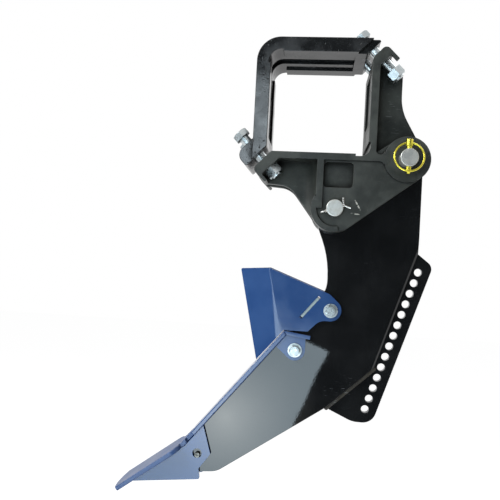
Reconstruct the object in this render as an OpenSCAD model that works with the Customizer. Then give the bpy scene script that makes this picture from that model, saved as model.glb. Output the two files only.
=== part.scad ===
// Subsoiler shank with a two-piece clamp for a square toolbar.
// The origin is the centre of the toolbar opening. The toolbar runs along Y, the leg lies in
// the XZ plane, +X points rearward and +Z points up. Sizes are in millimetres.

/* [Toolbar clamp] */
// Side of the square toolbar
bar_size = 178; // [150:1:215]
// Clearance between the toolbar and each clamp face
bar_clear = 3; // [1:0.5:6]
// Depth of both clamp halves along the toolbar
clamp_depth = 150; // [138:1:190]
// Thickness of the upper half's arms
arm_t = 26; // [22:1:36]
// Outside corner radius of the upper half
arm_corner_r = 44; // [30:1:60]
// Inside corner radius of the upper half
arm_fillet_r = 20; // [8:1:28]
// Thickness of the lower half's seat wall
seat_t = 12; // [9:1:18]
// Thickness of the lower half's upright wall
upright_t = 14; // [10:1:20]
// Inside corner radius of the lower half
seat_fillet_r = 14; // [4:1:22]
// Gap between the halves along the parting diagonal
part_gap = 13; // [6:1:20]
// Width of each raised pad that bears on the toolbar
pad_w = 33; // [20:1:45]
// Height of the raised pads above the relieved middle
pad_h = 4; // [2:0.5:6]
// Distance from the relieved middle's end to the arm's end
pad_end = 30; // [20:1:50]
// Distance from the opening's inside corners to the raised pads
pad_start = 22; // [20:1:30]
// Width of the cored groove down the middle of the upper half
groove_w = 28; // [16:1:40]
// Depth of the cored groove below the pads
groove_d = 11; // [6:1:14]

/* [Clamp bolts] */
// Diameter of the clamp bolts
bolt_d = 19; // [14:0.5:22]
// Radial clearance of the clamp bolts in their holes
bolt_clear = 0.8; // [0.4:0.1:1]
// Radial clearance between a screw thread and its nut
thread_clear = 0.05; // [0.02:0.01:0.1]
// Width across flats of the clamp bolts and nuts
bolt_af = 28.6; // [22:0.2:32]
// Height of the clamp bolts' heads
bolt_head_h = 12; // [8:0.5:16]
// Height of the clamp nuts
bolt_nut_h = 16.5; // [10:0.5:20]
// Thread that stands past the clamp nuts
bolt_tail = 3; // [1:0.5:8]
// Slack left in the clamp bolts
bolt_slack = 15; // [0.5:0.5:25]
// Distance of each clamp bolt from the middle of the clamp
bolt_y = 50; // [48:1:58]
// Distance of the front bolts' axes outside the opening's corner
front_bolt_out = 14; // [12:0.5:20]
// Distance of the rear bolts' axes outside the opening's corner
rear_bolt_out = 9; // [8:0.5:14]
// Distance from the front bolts to the end of the upper half's ear
upper_front_reach = 32; // [24:0.5:36]
// Distance from the rear bolts to the end of the upper half's ear
upper_rear_reach = 18; // [15:0.5:20]
// Distance from the front bolts to the end of the lower half's ear
lower_front_reach = 27; // [20:0.5:32]
// Distance from the rear bolts to the end of the lower half's ear
lower_rear_reach = 17.5; // [15:0.5:20]
// Thickness of the upper half's ears
upper_ear_t = 30; // [20:1:36]
// Depth of the rear bolts' seats above the parting face
rear_seat = 14; // [10:1:20]
// Diameter of the spot faces round the rear bolts' heads
spot_d = 38; // [34:1:42]
// Distance of the narrow rear ear's shoulder from the parting diagonal
ear_step = 18; // [15:1:22]
// Height that the rear bolts' heads stand off their seats
rear_lift = 11; // [0.5:0.5:20]
// Corner radius of the upper half's front ear
front_ear_r = 18; // [8:1:22]
// Wall of the upper half's ears outside each bolt hole
ear_margin = 4; // [3:0.5:6]
// Corner radius of the clamp's ears
ear_r = 9; // [4:0.5:12]
// Thickness of the lower half's ears
lower_ear_t = 19; // [14:1:26]
// Thickness of the lip at the end of a lower ear
lip_t = 6; // [4:0.5:7]
// Height of the lip at the end of a lower ear
lip_h = 15; // [10:1:22]

/* [Clevis] */
// Distance of the pivot pin behind the toolbar opening
pivot_back = 70; // [60:1:90]
// Distance of the pivot pin below the seat
pivot_drop = 7; // [0:1:20]
// Diameter of the pivot pin
pivot_d = 31.75; // [25:0.25:40]
// Radius of the bosses round the pivot pin
pivot_boss_r = 41; // [36:1:46]
// Distance of the shear pin ahead of the opening's rear face
shear_fore = 55; // [45:1:70]
// Distance of the shear pin below the seat
shear_drop = 100; // [90:1:125]
// Diameter of the shear pin
shear_d = 30; // [22:0.5:34]
// Radius of the cheek round the shear pin
shear_boss_r = 43; // [40:1:48]
// Radius of the sunk land round the shear pin
shear_land_r = 33; // [26:1:36]
// Radial clearance of the pins in their bores
pin_clear = 0.2; // [0.1:0.05:0.4]
// Clearance between the shank and each cheek
slot_clear = 1; // [0.5:0.25:2]
// Wall of each cheek beside the shank
cheek_t = 13; // [9:1:16]
// Distance that the rear web stands behind the toolbar opening
rear_web_back = 60; // [50:1:70]
// Distance of the rear web's top corner below the opening's top
rear_web_top = 28; // [20:1:36]
// Radius of the rear web's sweep down to the pivot
rear_web_r = 90; // [60:5:100]
// Distance that the front web reaches below the seat
front_web_drop = 58; // [50:1:66]
// Distance from the opening's front face to the front web's sweep
front_web_back = 44; // [36:1:52]
// Radius of the front web's sweep down to the shear pin
front_web_r = 42; // [20:1:50]
// Depth that the triangular web lies below the rim
web_step = 4; // [2:0.5:8]
// Width of the upright rib
rib_w = 12; // [8:1:18]
// Distance from the shear pin forward to the rib's near side
rib_fore = 23; // [18:1:28]
// Width of the core pocket beside the rib
pocket_w = 54; // [40:1:62]
// Height of the core pocket beside the rib
pocket_h = 46; // [30:1:52]
// Depth of the core pocket below the web
pocket_d = 12; // [6:1:24]
// Corner radius of the core pocket
pocket_r = 7; // [4:0.5:12]
// Radius of the front web's hollow beside the rib
scoop_r = 30; // [20:1:36]
// Radius of the fillets where the rim meets the pivot boss
rim_fillet_r = 7; // [4:0.5:7.5]

/* [Pins] */
// Length of pivot pin that stands out of the near boss
pivot_stand = 24; // [20:1:32]
// Diameter of the pivot pin's head
pivot_head_d = 48; // [38:1:60]
// Thickness of the pivot pin's head
pivot_head_t = 10; // [5:1:14]
// Diameter of the linch pin
linch_d = 9.5; // [7:0.25:11]
// Distance of the linch pin from the boss face
linch_stand = 14; // [13:0.5:15]
// Length of the linch pin above the pivot pin's centre
linch_up = 33; // [30:1:36]
// Length of the linch pin below the pivot pin's centre
linch_down = 28; // [24:1:34]
// Diameter of the linch pin's head
linch_head_d = 13; // [12:0.5:14]
// Height of the linch pin's head
linch_head_h = 12; // [9:0.5:14]
// Radius of the linch pin's ring along its wire
ring_r = 25.7; // [24:0.1:29]
// Diameter of the ring's wire
ring_wire_d = 3.6; // [2.6:0.2:4.4]
// Radial room for the ring in the linch pin's head
ring_room = 1.2; // [1.1:0.1:1.6]
// Length of shear pin that stands out of each web
shear_stand = 15; // [12:1:24]
// Diameter of the shear pin's head
shear_head_d = 42; // [36:1:48]
// Thickness of the shear pin's head
shear_head_t = 8; // [4:1:12]
// Diameter of the cotter's two legs together
cotter_d = 6; // [4:0.5:8]
// Length of the cotter's bent legs
cotter_leg = 14; // [8:1:18]
// Turn of the cotter round the shear pin, from upright
cotter_turn = 70; // [0:5:180]

/* [Shank] */
// Thickness of the shank plate
shank_t = 32; // [25:1:40]
// Steel behind the pivot pin
shank_back = 37; // [30:1:40]
// Steel above the line between the pins
shank_crown = 33; // [28:1:36]
// Steel ahead of the shear pin
shank_brow = 38; // [32:1:42]
// Slope of the brow from the vertical
brow_angle = 21.5; // [15:0.5:28]
// Distance of the throat ahead of the shear pin
throat_fore = 5; // [0:1:15]
// Distance from the seat down to the top of the rear slope
knee_drop = 174; // [160:1:200]
// Slope of the rear edge from the vertical
rear_angle = 18; // [12:0.5:24]
// Length of the sloping rear edge
rear_len = 230; // [200:1:280]
// Slope of the heel from the horizontal
heel_angle = 43; // [38:0.5:48]
// Length of the heel
heel_len = 122; // [90:1:150]
// Slope of the sole from the horizontal
sole_angle = 34.5; // [30:0.5:38]
// Length of the sole
sole_len = 243; // [220:1:255]
// Length of the nose under the point's blade
nose_len = 48; // [40:1:54]
// Slope of the nose's underside from the horizontal
nose_angle = 5; // [0:0.5:10]
// Corner radius where the sole meets the nose
sole_r = 40; // [20:1:50]
// Radius of the throat's lower curve
throat_low_r = 55; // [40:1:60]
// Radius of the throat's upper curve
throat_high_r = 200; // [120:5:210]

/* [Hole plate] */
// Thickness of the plate with the row of holes
plate_t = 12; // [8:1:16]
// Width of the plate behind the shank
plate_w = 35; // [30:1:45]
// Diameter of the holes
hole_d = 14.3; // [10:0.1:16]
// Distance from hole to hole
hole_pitch = 21.4; // [18:0.1:22]
// Number of holes
hole_count = 14; // [6:1:14]
// Depth of the plate's rounded foot below the sole's top
plate_foot = 24; // [18:1:30]
// Slope of the plate's underside from the horizontal
plate_heel_angle = 24; // [18:1:30]
// Corner radius at the plate's foot
plate_foot_r = 26; // [14:1:30]
// Corner radius at the plate's top
plate_top_r = 16; // [8:1:20]
// Slope of the plate's top edge from the horizontal
plate_top_angle = 38; // [30:1:46]
// Distance of the holes from the plate's rear edge
hole_edge = 22; // [16:0.5:24]
// Distance of the first hole below the top of the rear slope
hole_first = 33; // [26:1:40]

/* [Shin] */
// Distance of the shin's top ahead of the shear pin
shin_fore = 82; // [75:1:92]
// Distance of the shin's top below the shear pin
shin_drop = 233; // [225:1:250]
// Slope of the shin from the horizontal
shin_angle = 50.7; // [48:0.1:53]
// Length of the shin bar
shin_len = 268; // [240:1:280]
// Thickness of the shin bar
shin_t = 9; // [7:0.5:12]
// Thickness of the shin's ears
ear_t = 5; // [4:0.5:8]
// Thickness of the rim along the top of a shin ear
ear_rim_t = 8; // [6:0.5:10]
// Width of the rim along the top of a shin ear
ear_rim_w = 7; // [5:0.5:9]
// Slope of the rim along the top of a shin ear
ear_rim_angle = 8; // [4:0.5:12]
// Length of the rim along the top of a shin ear
ear_rim_len = 51; // [44:1:56]
// Length of the ear's edge down the shin bar
ear_tail = 30; // [24:1:40]
// Steel round the shin bolt in a shin ear
ear_r_bolt = 19.5; // [16:0.5:22]
// Distance of the shin bolt behind the shin's top
shin_bolt_back = 22; // [18:1:26]
// Distance of the shin bolt below the shin's top
shin_bolt_drop = 36; // [32:1:42]
// Fit between the shank and the plates that lie against it
side_fit = 0.2; // [0.1:0.1:0.5]

/* [Shield] */
// Thickness of the shield plates
shield_t = 6; // [4:0.5:8]
// Height of the shield's bend above the shin's top
shield_rise = 118; // [100:1:130]
// Distance of the shield's bend ahead of the shin's top
shield_fore = 34; // [28:1:40]
// Length of the shield's top edge ahead of the bend
wing_len = 57; // [45:1:65]
// Slope of the bend from the vertical
bend_angle = 10; // [6:0.5:14]
// Slope of the wing's front edge from the vertical
wing_angle = 12.5; // [8:0.5:16]
// Depth of the soft bend below a sharp corner, at the top of the shield
bend_cut_top = 0.2; // [0.1:0.05:0.4]
// Depth of the soft bend below a sharp corner, at the shield's foot
bend_cut_foot = 1.2; // [0.5:0.1:2]
// Distance of the shield bolt behind the shin's top
shield_bolt_back = 86; // [80:1:94]
// Distance of the shield bolt above the shin's top
shield_bolt_rise = 43; // [40:1:48]
// Radius of the plate round the shield bolt
shield_boss_r = 20; // [17:0.5:23]
// Radius of the shield's hollow between its bolt and its foot
shield_throat_r = 26; // [16:1:30]
// Height of the shield's back edge over its bolt
shield_back_rise = 31; // [26:1:36]
// Length of the shield's foot along the shin's rim
shield_foot = 46; // [40:1:50]
// Drop of the nose's top corner below the bend's top
nose_drop = 4; // [0:0.5:10]
// Distance of the stop plate above the shin's top
stop_up = 66; // [58:1:70]
// Gap between the shield and the shin
shield_gap = 1.5; // [0.5:0.5:4]
// Thickness of the stop plate between the shield plates
stop_t = 5; // [4:0.5:7]
// Width of the stop plate's tabs
stop_w = 48; // [30:1:52]
// Room past each end of a tab in its slot
stop_room = 3; // [0.5:0.5:4]
// Depth that a tab's end lies below the shield's face
stop_sink = 0.8; // [0:0.1:2]

/* [Small bolts] */
// Diameter of the shin and shield bolts
screw_d = 12.7; // [10:0.1:14]
// Width across flats of the shin and shield bolts
screw_af = 19; // [16:0.5:22]
// Height of a small bolt's head
screw_head_h = 8; // [6:0.5:10]
// Height of a small lock nut
screw_nut_h = 11; // [9:0.5:13]
// Height of a lock nut's round collar
collar_h = 3.5; // [2:0.5:5]
// Diameter of a lock nut's round collar
collar_d = 17; // [15.5:0.5:18.5]
// Thread that stands past a small nut
screw_tail = 3; // [1:0.5:6]
// Diameter of the washers
washer_d = 27; // [24:0.5:32]
// Thickness of the washers
washer_t = 2.5; // [1.5:0.1:3.5]
// Radial clearance of the small bolts in their holes
screw_clear = 0.4; // [0.2:0.1:0.8]

/* [Point] */
// Distance along the shin from the bar's end to the point
point_gap = 1; // [0.5:0.5:3]
// Length of the point's neck
neck_len = 16; // [10:1:18]
// Length of the point between its neck and its bend
upper_len = 9; // [7:1:16]
// Distance of the blade's shoulders below the bend
shoulder_drop = 6; // [4:1:12]
// Slope of the blade from the horizontal
blade_angle = 36.5; // [34:0.5:40]
// Length of the blade ahead of the bend
blade_len = 160; // [135:1:170]
// Width of the blade
blade_w = 90; // [80:1:100]
// Thickness of the point's bar
point_t = 9; // [7:0.5:11]
// Outside radius of the point's bend
bend_r = 34; // [20:1:50]
// Corner radius at the blade's shoulders
shoulder_r = 20; // [8:1:20]
// Bow of the blade's cutting edge
blade_bow = 9; // [4:1:14]
// Thickness of the point's side plates
cheek_plate_t = 6; // [4:0.5:8]
// Length of the side plates' top edge along the shank's front
cheek_top = 54; // [44:1:60]
// Depth of the side plates below the sole's end
cheek_drop = 12; // [8:1:16]
// Slope of the side plates' lower edge
cheek_angle = 6.5; // [3:0.5:9]
// Reach of the side plates behind the roll pin
cheek_back = 26; // [22:1:32]
// Slope of the side plates' slanted rear edge
cheek_slant_angle = 53.5; // [48:0.5:58]
// Length of the slanted rear edge of the side plates
cheek_slant = 36; // [28:1:42]
// Distance of the roll pin behind the bend
roll_back = 31; // [28:1:36]
// Distance of the roll pin below the bend
roll_drop = 19; // [16:1:22]
// Diameter of the roll pin
roll_d = 10; // [8:0.5:12]
// Wall of the roll pin
roll_wall = 2.5; // [1.5:0.5:3]
// Radial clearance of the roll pin in the shank
roll_clear = 0.05; // [0.02:0.01:0.1]
// Diameter of the roll pin's holes in the side plates
roll_hole_d = 18; // [15:0.5:20]

/* [Hidden] */
$fn = 64;
// Turn by which the ring rests clear of the linch pin's tip
ring_ease = 0.5;
// Depth that one piece of a casting or plate lies inside a flush neighbour
flush_ease = 0.05;
// Depth that the hollow beside the rib would reach below the front web
scoop_dip = 0.3;
// Height of a hexagon's chamfer, as a part of its width across flats
hex_chamfer = 0.08;
// Bends of the cotter's two legs
cotter_bends = [-75, 40];
// Largest turn between two points of a rounded corner
arc_step = 5;
// Radius of broken edges on the castings
small_r = 3;
// Overshoot of cuts
eps = 1;
// Reach of a cut that passes clean through
far = 400;

black = [0.09, 0.09, 0.10];
blue = [0.13, 0.24, 0.50];
zinc = [0.75, 0.77, 0.78];
steel = [0.62, 0.63, 0.62];
gold = [0.85, 0.72, 0.20];

// Clamp frame
half = bar_size / 2 + bar_clear;
half_d = clamp_depth / 2;
corner_u = half * sqrt(2);
front_bolt_u = corner_u + front_bolt_out;
rear_bolt_u = corner_u + rear_bolt_out;
part_v = part_gap / 2;
low_v = part_v + lower_ear_t;
high_v = part_v + upper_ear_t;
bolt_len = upper_ear_t + part_gap + lower_ear_t + bolt_slack + bolt_nut_h + bolt_tail;
bolt_hole_d = bolt_d + 2 * bolt_clear;
ear_y = bolt_y + bolt_hole_d / 2 + ear_margin;
front_head_v = -high_v - bolt_slack;
rear_head_v = -part_v - rear_seat - rear_lift;
rear_nut_v = rear_head_v + bolt_len - bolt_tail - bolt_nut_h;
front_ear_u = front_bolt_u + lower_front_reach;
rear_ear_u = rear_bolt_u + lower_rear_reach;
lip_y = bolt_y + bolt_af / sqrt(3) + small_r / 2;
relief_y = half_d - pad_w;

// Clevis frame
pivot = [half + pivot_back, -half - pivot_drop];
shear = [half - shear_fore, -half - shear_drop];
slot_y = shank_t / 2 + slot_clear;
floor_y = slot_y + cheek_t;
web_y = half_d - web_step;
rib_x = shear.x - rib_fore;
link_angle = atan2(pivot.y - shear.y, pivot.x - shear.x);
// Bearings at which the webs run onto the bosses, and the raised rim's ends round the shear pin
front_web_angle = 205;
rear_web_angle = 40;
rim_from = 150;
rim_to = 282;

// Leg lines: a point and an angle each
side_y = shank_t / 2 + side_fit;
shin_dir = [-cos(shin_angle), -sin(shin_angle)];
shin_in = [sin(shin_angle), -cos(shin_angle)];
shin_top = shear + [-shin_fore, -shin_drop];
shank_face = shin_top + shin_in * (shin_t + side_fit);
knee = [pivot.x + shank_back, -half - knee_drop];
rear_dir = [-sin(rear_angle), -cos(rear_angle)];
rear_out = [cos(rear_angle), -sin(rear_angle)];
heel = knee + rear_dir * rear_len;
sole_top = heel + heel_len * [-cos(heel_angle), -sin(heel_angle)];
sole_end = sole_top + sole_len * [-cos(sole_angle), -sin(sole_angle)];

rim_drop = ear_rim_w * heading(-ear_rim_angle - 90);

// Point
point_top = shin_top + shin_dir * (shin_len + point_gap);
bend = point_top + shin_dir * (neck_len + upper_len);
blade_dir = [-cos(blade_angle), -sin(blade_angle)];
blade_in = [sin(blade_angle), -cos(blade_angle)];
tip = bend + blade_dir * blade_len;
roll = bend + [roll_back, -roll_drop];
// The roll pin lies in the bottom of the side plates' holes
roll_pin_at = roll - [0, (roll_hole_d - roll_d) / 2];
point_inside = point_t + side_fit;

// Bolts that hold the shin and the shield
shin_bolt_at = shin_top + [shin_bolt_back, -shin_bolt_drop];
shield_bolt_at = shin_top + [shield_bolt_back, shield_bolt_rise];
wing_turn = atan((side_y + shield_t) / (wing_len * cos(bend_angle)));
bend_top = shin_top + [-shield_fore, shield_rise];

// Helpers for outlines
function flat(p) = [p[0], p[1]];
function unit(v) = v / norm(v);
function diag(u, v) = [u + v, u - v] / sqrt(2);
function cross2(a, b) = a.x * b.y - a.y * b.x;
function heading(a) = [cos(a), sin(a)];
// Crossing of the line through p at angle a with the line through q at angle b
function meet(p, a, q, b) =
    p + heading(a) * cross2(q - p, heading(b)) / cross2(heading(a), heading(b));
// Points of a fillet of radius r at b, between its neighbours a and c
function fillet(a, b, c, r) =
    let (u = unit(a - b), w = unit(c - b), turn = acos(u * w) / 2,
         mid = b + unit(u + w) * r / sin(turn),
         s = b + u * r / tan(turn) - mid, e = b + w * r / tan(turn) - mid,
         from = atan2(s.y, s.x), sweep = (atan2(e.y, e.x) - from + 540) % 360 - 180,
         n = ceil(abs(sweep) / arc_step))
    [for (i = [0:n]) mid + r * heading(from + sweep * i / n)];
// Outline from corners [x, z, radius]; a corner without a radius stays sharp
function rounded(p) =
    let (n = len(p))
    [for (i = [0:n - 1])
        let (r = len(p[i]) > 2 ? p[i][2] : 0)
        each r > 0 ? fillet(flat(p[(i + n - 1) % n]), flat(p[i]), flat(p[(i + 1) % n]), r)
                   : [flat(p[i])]];
// A corner point with a radius
function at(p, r = 0) = [p.x, p.y, r];

// Places an XZ outline between two depths
module between(y0, y1) {
    translate([0, y1, 0]) rotate([90, 0, 0]) linear_extrude(y1 - y0) children();
}

// Places an XZ outline on one side of the middle, side -1 near and 1 far
module on_side(side, y0, y1) {
    if (side < 0) between(-y1, -y0) children();
    else between(y0, y1) children();
}

// Straight-sided link round two circles
module link(a, ra, b, rb) {
    turn = atan2(b.y - a.y, b.x - a.x);
    lean = acos((ra - rb) / norm(b - a));
    translate(a) circle(ra);
    translate(b) circle(rb);
    polygon([a + ra * heading(turn + lean), b + rb * heading(turn + lean),
             b + rb * heading(turn - lean), a + ra * heading(turn - lean)]);
}

// Cylinder along Y at an XZ point
module rod(p, r, y0, y1) {
    translate([p.x, y1, p.y]) rotate([90, 0, 0]) cylinder(h = y1 - y0, r = r);
}

// Frame of one clamp bolt: +Z runs from head to nut, origin on the parting diagonal
module at_bolt(end, y) {
    p = end < 0 ? diag(-front_bolt_u, 0) : diag(rear_bolt_u, 0);
    translate([p.x, y, p.y]) rotate([0, 135, 0]) rotate([0, 0, 90]) children();
}

// Hexagon prism with a chamfered top, flats across af
module hex(af, h) {
    chamfer = af * hex_chamfer;
    intersection() {
        cylinder(h = h, r = af / sqrt(3), $fn = 6);
        union() {
            cylinder(h = h - chamfer, r = af / sqrt(3) + eps);
            translate([0, 0, h - chamfer])
                cylinder(h = chamfer, r1 = af / sqrt(3), r2 = af / 2);
        }
    }
}

// Upper half of the clamp
module upper_outline() {
    arm = half + arm_t;
    lug = arm * sqrt(2) - high_v;
    front_u = front_bolt_u + upper_front_reach;
    rear_u = rear_bolt_u + upper_rear_reach;
    polygon(rounded([
        at(diag(-corner_u + part_v, -part_v), small_r),
        at(diag(-front_u, -part_v), small_r),
        at(diag(-front_u, -high_v), front_ear_r),
        at(diag(-lug, -high_v), small_r),
        [-arm, arm, arm_corner_r],
        [rear_u * sqrt(2) - arm, arm, small_r],
        at(diag(rear_u, -part_v), small_r / 2),
        at(diag(corner_u - part_v, -part_v), small_r),
        [-half, half, arm_fillet_r]]));
}

// Band of the upper half's inner faces, d deep, stopping short of both ends
module upper_relief(d, r) {
    stop = half - pad_end;
    polygon(rounded([
        [-half - d, -stop], [-half - d, half + d, r], [stop, half + d], [stop, half - eps],
        [-half + eps, half - eps, max(r - d, 1)], [-half + eps, -stop]]));
}

// Everything outside the arms, where the ears are narrower than the clamp
module beside_arms() {
    arm = half + arm_t;
    difference() {
        square(2 * far, center = true);
        polygon(rounded([[-arm, -far], [-arm, arm, arm_corner_r], [far, arm], [far, -far]]));
    }
}

// Rear ear below its shoulder, where it is narrower than the clamp
module rear_ear_step() {
    polygon([diag(half, -ear_step), diag(far, -ear_step), diag(far, far), diag(half, far)]);
}

// Inside corner, where the pads stop
module upper_corner() {
    intersection() {
        upper_relief(pad_h, arm_fillet_r + pad_h);
        translate([-far, half - pad_start]) square([far - half + pad_start, far]);
    }
}

module upper_clamp() {
    color(black) difference() {
        between(-half_d, half_d) upper_outline();
        for (side = [-1, 1]) on_side(side, ear_y, half_d + eps) {
            beside_arms();
            rear_ear_step();
        }
        between(-half_d - eps, half_d + eps) upper_corner();
        between(-relief_y, relief_y) upper_relief(pad_h, arm_fillet_r + pad_h);
        between(-groove_w / 2, groove_w / 2) upper_relief(groove_d, arm_fillet_r + groove_d);
        for (y = [-bolt_y, bolt_y]) {
            for (end = [-1, 1])
                at_bolt(end, y) translate([0, 0, -far / 4]) cylinder(h = far / 2, d = bolt_hole_d);
            at_bolt(1, y) mirror([0, 0, 1]) translate([0, 0, part_v + rear_seat])
                cylinder(h = far / 4, d = spot_d);
        }
    }
}

// Lower half of the clamp: seat, upright and ears, over the whole depth
module lower_spine() {
    polygon(rounded([
        at(diag(-corner_u + part_v, part_v), small_r),
        [half, -half, seat_fillet_r],
        at(diag(corner_u - part_v, part_v), 2 * ear_r),
        at(diag(rear_ear_u, part_v), ear_r),
        at(diag(rear_ear_u, low_v)),
        [half + upright_t, half + upright_t - low_v * sqrt(2), ear_r],
        [half + upright_t, -half - seat_t],
        [-half - seat_t + low_v * sqrt(2), -half - seat_t, ear_r],
        at(diag(lip_t - front_ear_u, low_v), small_r),
        at(diag(lip_t - front_ear_u, low_v + lip_h), small_r / 2),
        at(diag(-front_ear_u, low_v + lip_h), small_r),
        at(diag(-front_ear_u, part_v), ear_r)]));
}

// Lips at both ends of the rear ear, outside its nuts
module rear_lip() {
    outer_u = rear_ear_u - flush_ease;
    inner_u = rear_ear_u - lip_t;
    polygon([diag(outer_u, low_v - eps), diag(outer_u, low_v + lip_h), diag(inner_u, low_v + lip_h),
             diag(inner_u, low_v - eps)]);
}

// Triangular web between the two pins and the seat
module lower_web() {
    link(pivot, pivot_boss_r, shear, shear_boss_r);
    polygon([[rib_x - rib_w, -half - seat_t + eps], [pivot.x, -half - seat_t + eps], pivot, shear,
             [rib_x - rib_w, shear.y]]);
}

// Web under the seat, from the front ear's lip back to the rib
module front_web() {
    front_u = front_ear_u - lip_t / 2;
    polygon(rounded([
        at(diag(-front_u, low_v - eps)), at(diag(-front_u, low_v + lip_h - eps)),
        [front_web_back - half, -half - front_web_drop, front_web_r],
        at(shear + shear_boss_r * heading(front_web_angle)), at(shear),
        [rib_x - eps, -half - seat_t + eps], [low_v * sqrt(2) - half - seat_t, -half - seat_t + eps]]));
}

// The front web thickens towards the rib in a round hollow
module front_scoop(side) {
    middle = [rib_x - rib_w - scoop_r, floor_y + scoop_r - scoop_dip];
    difference() {
        on_side(side, 0, floor_y + scoop_r) front_web();
        translate([middle.x, side * middle.y, 0]) cylinder(h = 2 * far, r = scoop_r, center = true);
        on_side(side, floor_y - eps, far) translate([middle.x - far, -far]) square([far, 2 * far]);
    }
}

// Whole cheek beside the shank, with its webs to the ears
module lower_cheek() {
    lower_web();
    front_web();
    polygon(rounded([
        [half + eps, -half], [half + eps, half - low_v], at(diag(rear_ear_u, low_v - eps)),
        [half + rear_web_back, half - rear_web_top, ear_r], [half + rear_web_back, 0, rear_web_r],
        at(pivot + pivot_boss_r * heading(rear_web_angle)), at(pivot)]));
}

// Fills the inside corner b between a and c with a fillet
module corner_fill(a, b, c, r) {
    behind = b - eps * (unit(a - b) + unit(c - b));
    polygon(concat([behind], fillet(a, b, c, r)));
}

// Raised rim: rib, both bosses' edges and the bridge to the pivot
module lower_rim() {
    wall = half + upright_t;
    boss = pivot.x - pivot_boss_r;
    corner_fill([wall, half], [wall, -half], [boss, -half], rim_fillet_r);
    corner_fill([wall, -half], [boss, -half], [boss, half], rim_fillet_r);
    corner_fill([wall, -half - seat_t], [boss, -half - seat_t], [boss, shear.y], rim_fillet_r);
    translate([rib_x - rib_w, shear.y]) square([rib_w, -half - seat_t + eps - shear.y]);
    translate(pivot) circle(pivot_boss_r);
    polygon(rounded([
        [half, -half], [pivot.x, -half], [pivot.x, -half - seat_t], [half, -half - seat_t]]));
    intersection() {
        translate(shear) difference() {
            circle(shear_boss_r);
            circle(shear_land_r);
        }
        polygon([shear, shear + far * heading(rim_from), shear - [far, far],
                 shear + far * heading(rim_to)]);
    }
}

// Room for the shank between the cheeks
module lower_slot() {
    polygon([[-far, -half - seat_t], [half + upright_t, -half - seat_t],
             [half + upright_t, half - low_v], [far, half - low_v], [far, -far], [-far, -far]]);
    link(pivot, shank_back + slot_clear, shear, shank_brow + slot_clear);
}

// Core pocket in the web beside the rib
module lower_pocket() {
    translate([rib_x, -half - seat_t - web_step])
        polygon(rounded([[0, 0, pocket_r], [pocket_w, 0, pocket_r], [pocket_w, -pocket_h, pocket_r],
                         [0, -pocket_h, pocket_r]]));
}

// Band of the lower half's inner faces, d deep
module lower_relief(d) {
    stop = half - pad_end;
    translate([-stop, -half - d]) square([2 * stop - pad_end, d + eps]);
    translate([half - eps, -stop + pad_end]) square([d + eps, 2 * stop - pad_end]);
}

// Inside corner of the lower half, where the pads stop
module lower_corner() {
    low = -half - pad_h;
    back = half + pad_h;
    polygon(rounded([
        [half - pad_start, low], [back, low, seat_fillet_r + pad_h], [back, pad_start - half],
        [half - seat_fillet_r, pad_start - half], [half - pad_start, seat_fillet_r - half]]));
}

module lower_clamp() {
    color(black) difference() {
        union() {
            between(-half_d, half_d) lower_spine();
            for (side = [-1, 1]) {
                on_side(side, 0, floor_y) lower_cheek();
                front_scoop(side);
                on_side(side, 0, web_y) lower_web();
                on_side(side, 0, half_d) lower_rim();
                on_side(side, lip_y, half_d) rear_lip();
            }
        }
        between(-slot_y, slot_y) lower_slot();
        for (side = [-1, 1]) on_side(side, web_y - pocket_d, half_d + eps) lower_pocket();
        between(-relief_y, relief_y) lower_relief(pad_h);
        between(-half_d - eps, half_d + eps) lower_corner();
        rod(pivot, pivot_d / 2 + pin_clear, -half_d - eps, half_d + eps);
        rod(shear, shear_d / 2 + pin_clear, -half_d - eps, half_d + eps);
        for (end = [-1, 1], y = [-bolt_y, bolt_y])
            at_bolt(end, y) translate([0, 0, -far / 4]) cylinder(h = far / 2, d = bolt_hole_d);
    }
}

// Clamp bolts, left slack: the front nuts are home, the rear nuts are at the bolts' ends
module clamp_bolts() {
    for (end = [-1, 1], y = [-bolt_y, bolt_y])
        color(zinc) at_bolt(end, y) translate([0, 0, end < 0 ? front_head_v : rear_head_v]) {
            cylinder(h = bolt_len, d = bolt_d);
            mirror([0, 0, 1]) hex(bolt_af, bolt_head_h);
        }
}

module clamp_nuts() {
    for (end = [-1, 1], y = [-bolt_y, bolt_y])
        color(zinc) at_bolt(end, y) translate([0, 0, end < 0 ? low_v : rear_nut_v])
            difference() {
                hex(bolt_af, bolt_nut_h);
                translate([0, 0, -eps])
                    cylinder(h = bolt_nut_h + 2 * eps, r = bolt_d / 2 + thread_clear);
            }
}

// Pivot pin with its linch pin and ring
module pivot_pin() {
    r = pivot_d / 2;
    color(steel) difference() {
        union() {
            rod(pivot, r, -half_d - pivot_stand, half_d);
            rod(pivot, pivot_head_d / 2, half_d, half_d + pivot_head_t);
        }
        translate([pivot.x, -half_d - linch_stand, pivot.y])
            cylinder(h = 2 * pivot_d, r = linch_d / 2 + pin_clear, center = true);
    }
}

module linch_pin() {
    tip_h = linch_d / 2;
    color(gold) translate([pivot.x, -half_d - linch_stand, pivot.y]) difference() {
        union() {
            translate([0, 0, tip_h - linch_down])
                cylinder(h = linch_up + linch_down - tip_h - linch_head_h / 2, d = linch_d);
            translate([0, 0, -linch_down]) cylinder(h = tip_h, r1 = linch_d / 4, r2 = linch_d / 2);
            translate([0, 0, linch_up - linch_head_h]) cylinder(h = linch_head_h, d = linch_head_d);
        }
        translate([0, 0, linch_up - linch_head_h / 2]) rotate([0, 90, 0])
            cylinder(h = 2 * linch_head_d, r = ring_wire_d / 2 + ring_room, center = true);
    }
}

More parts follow.
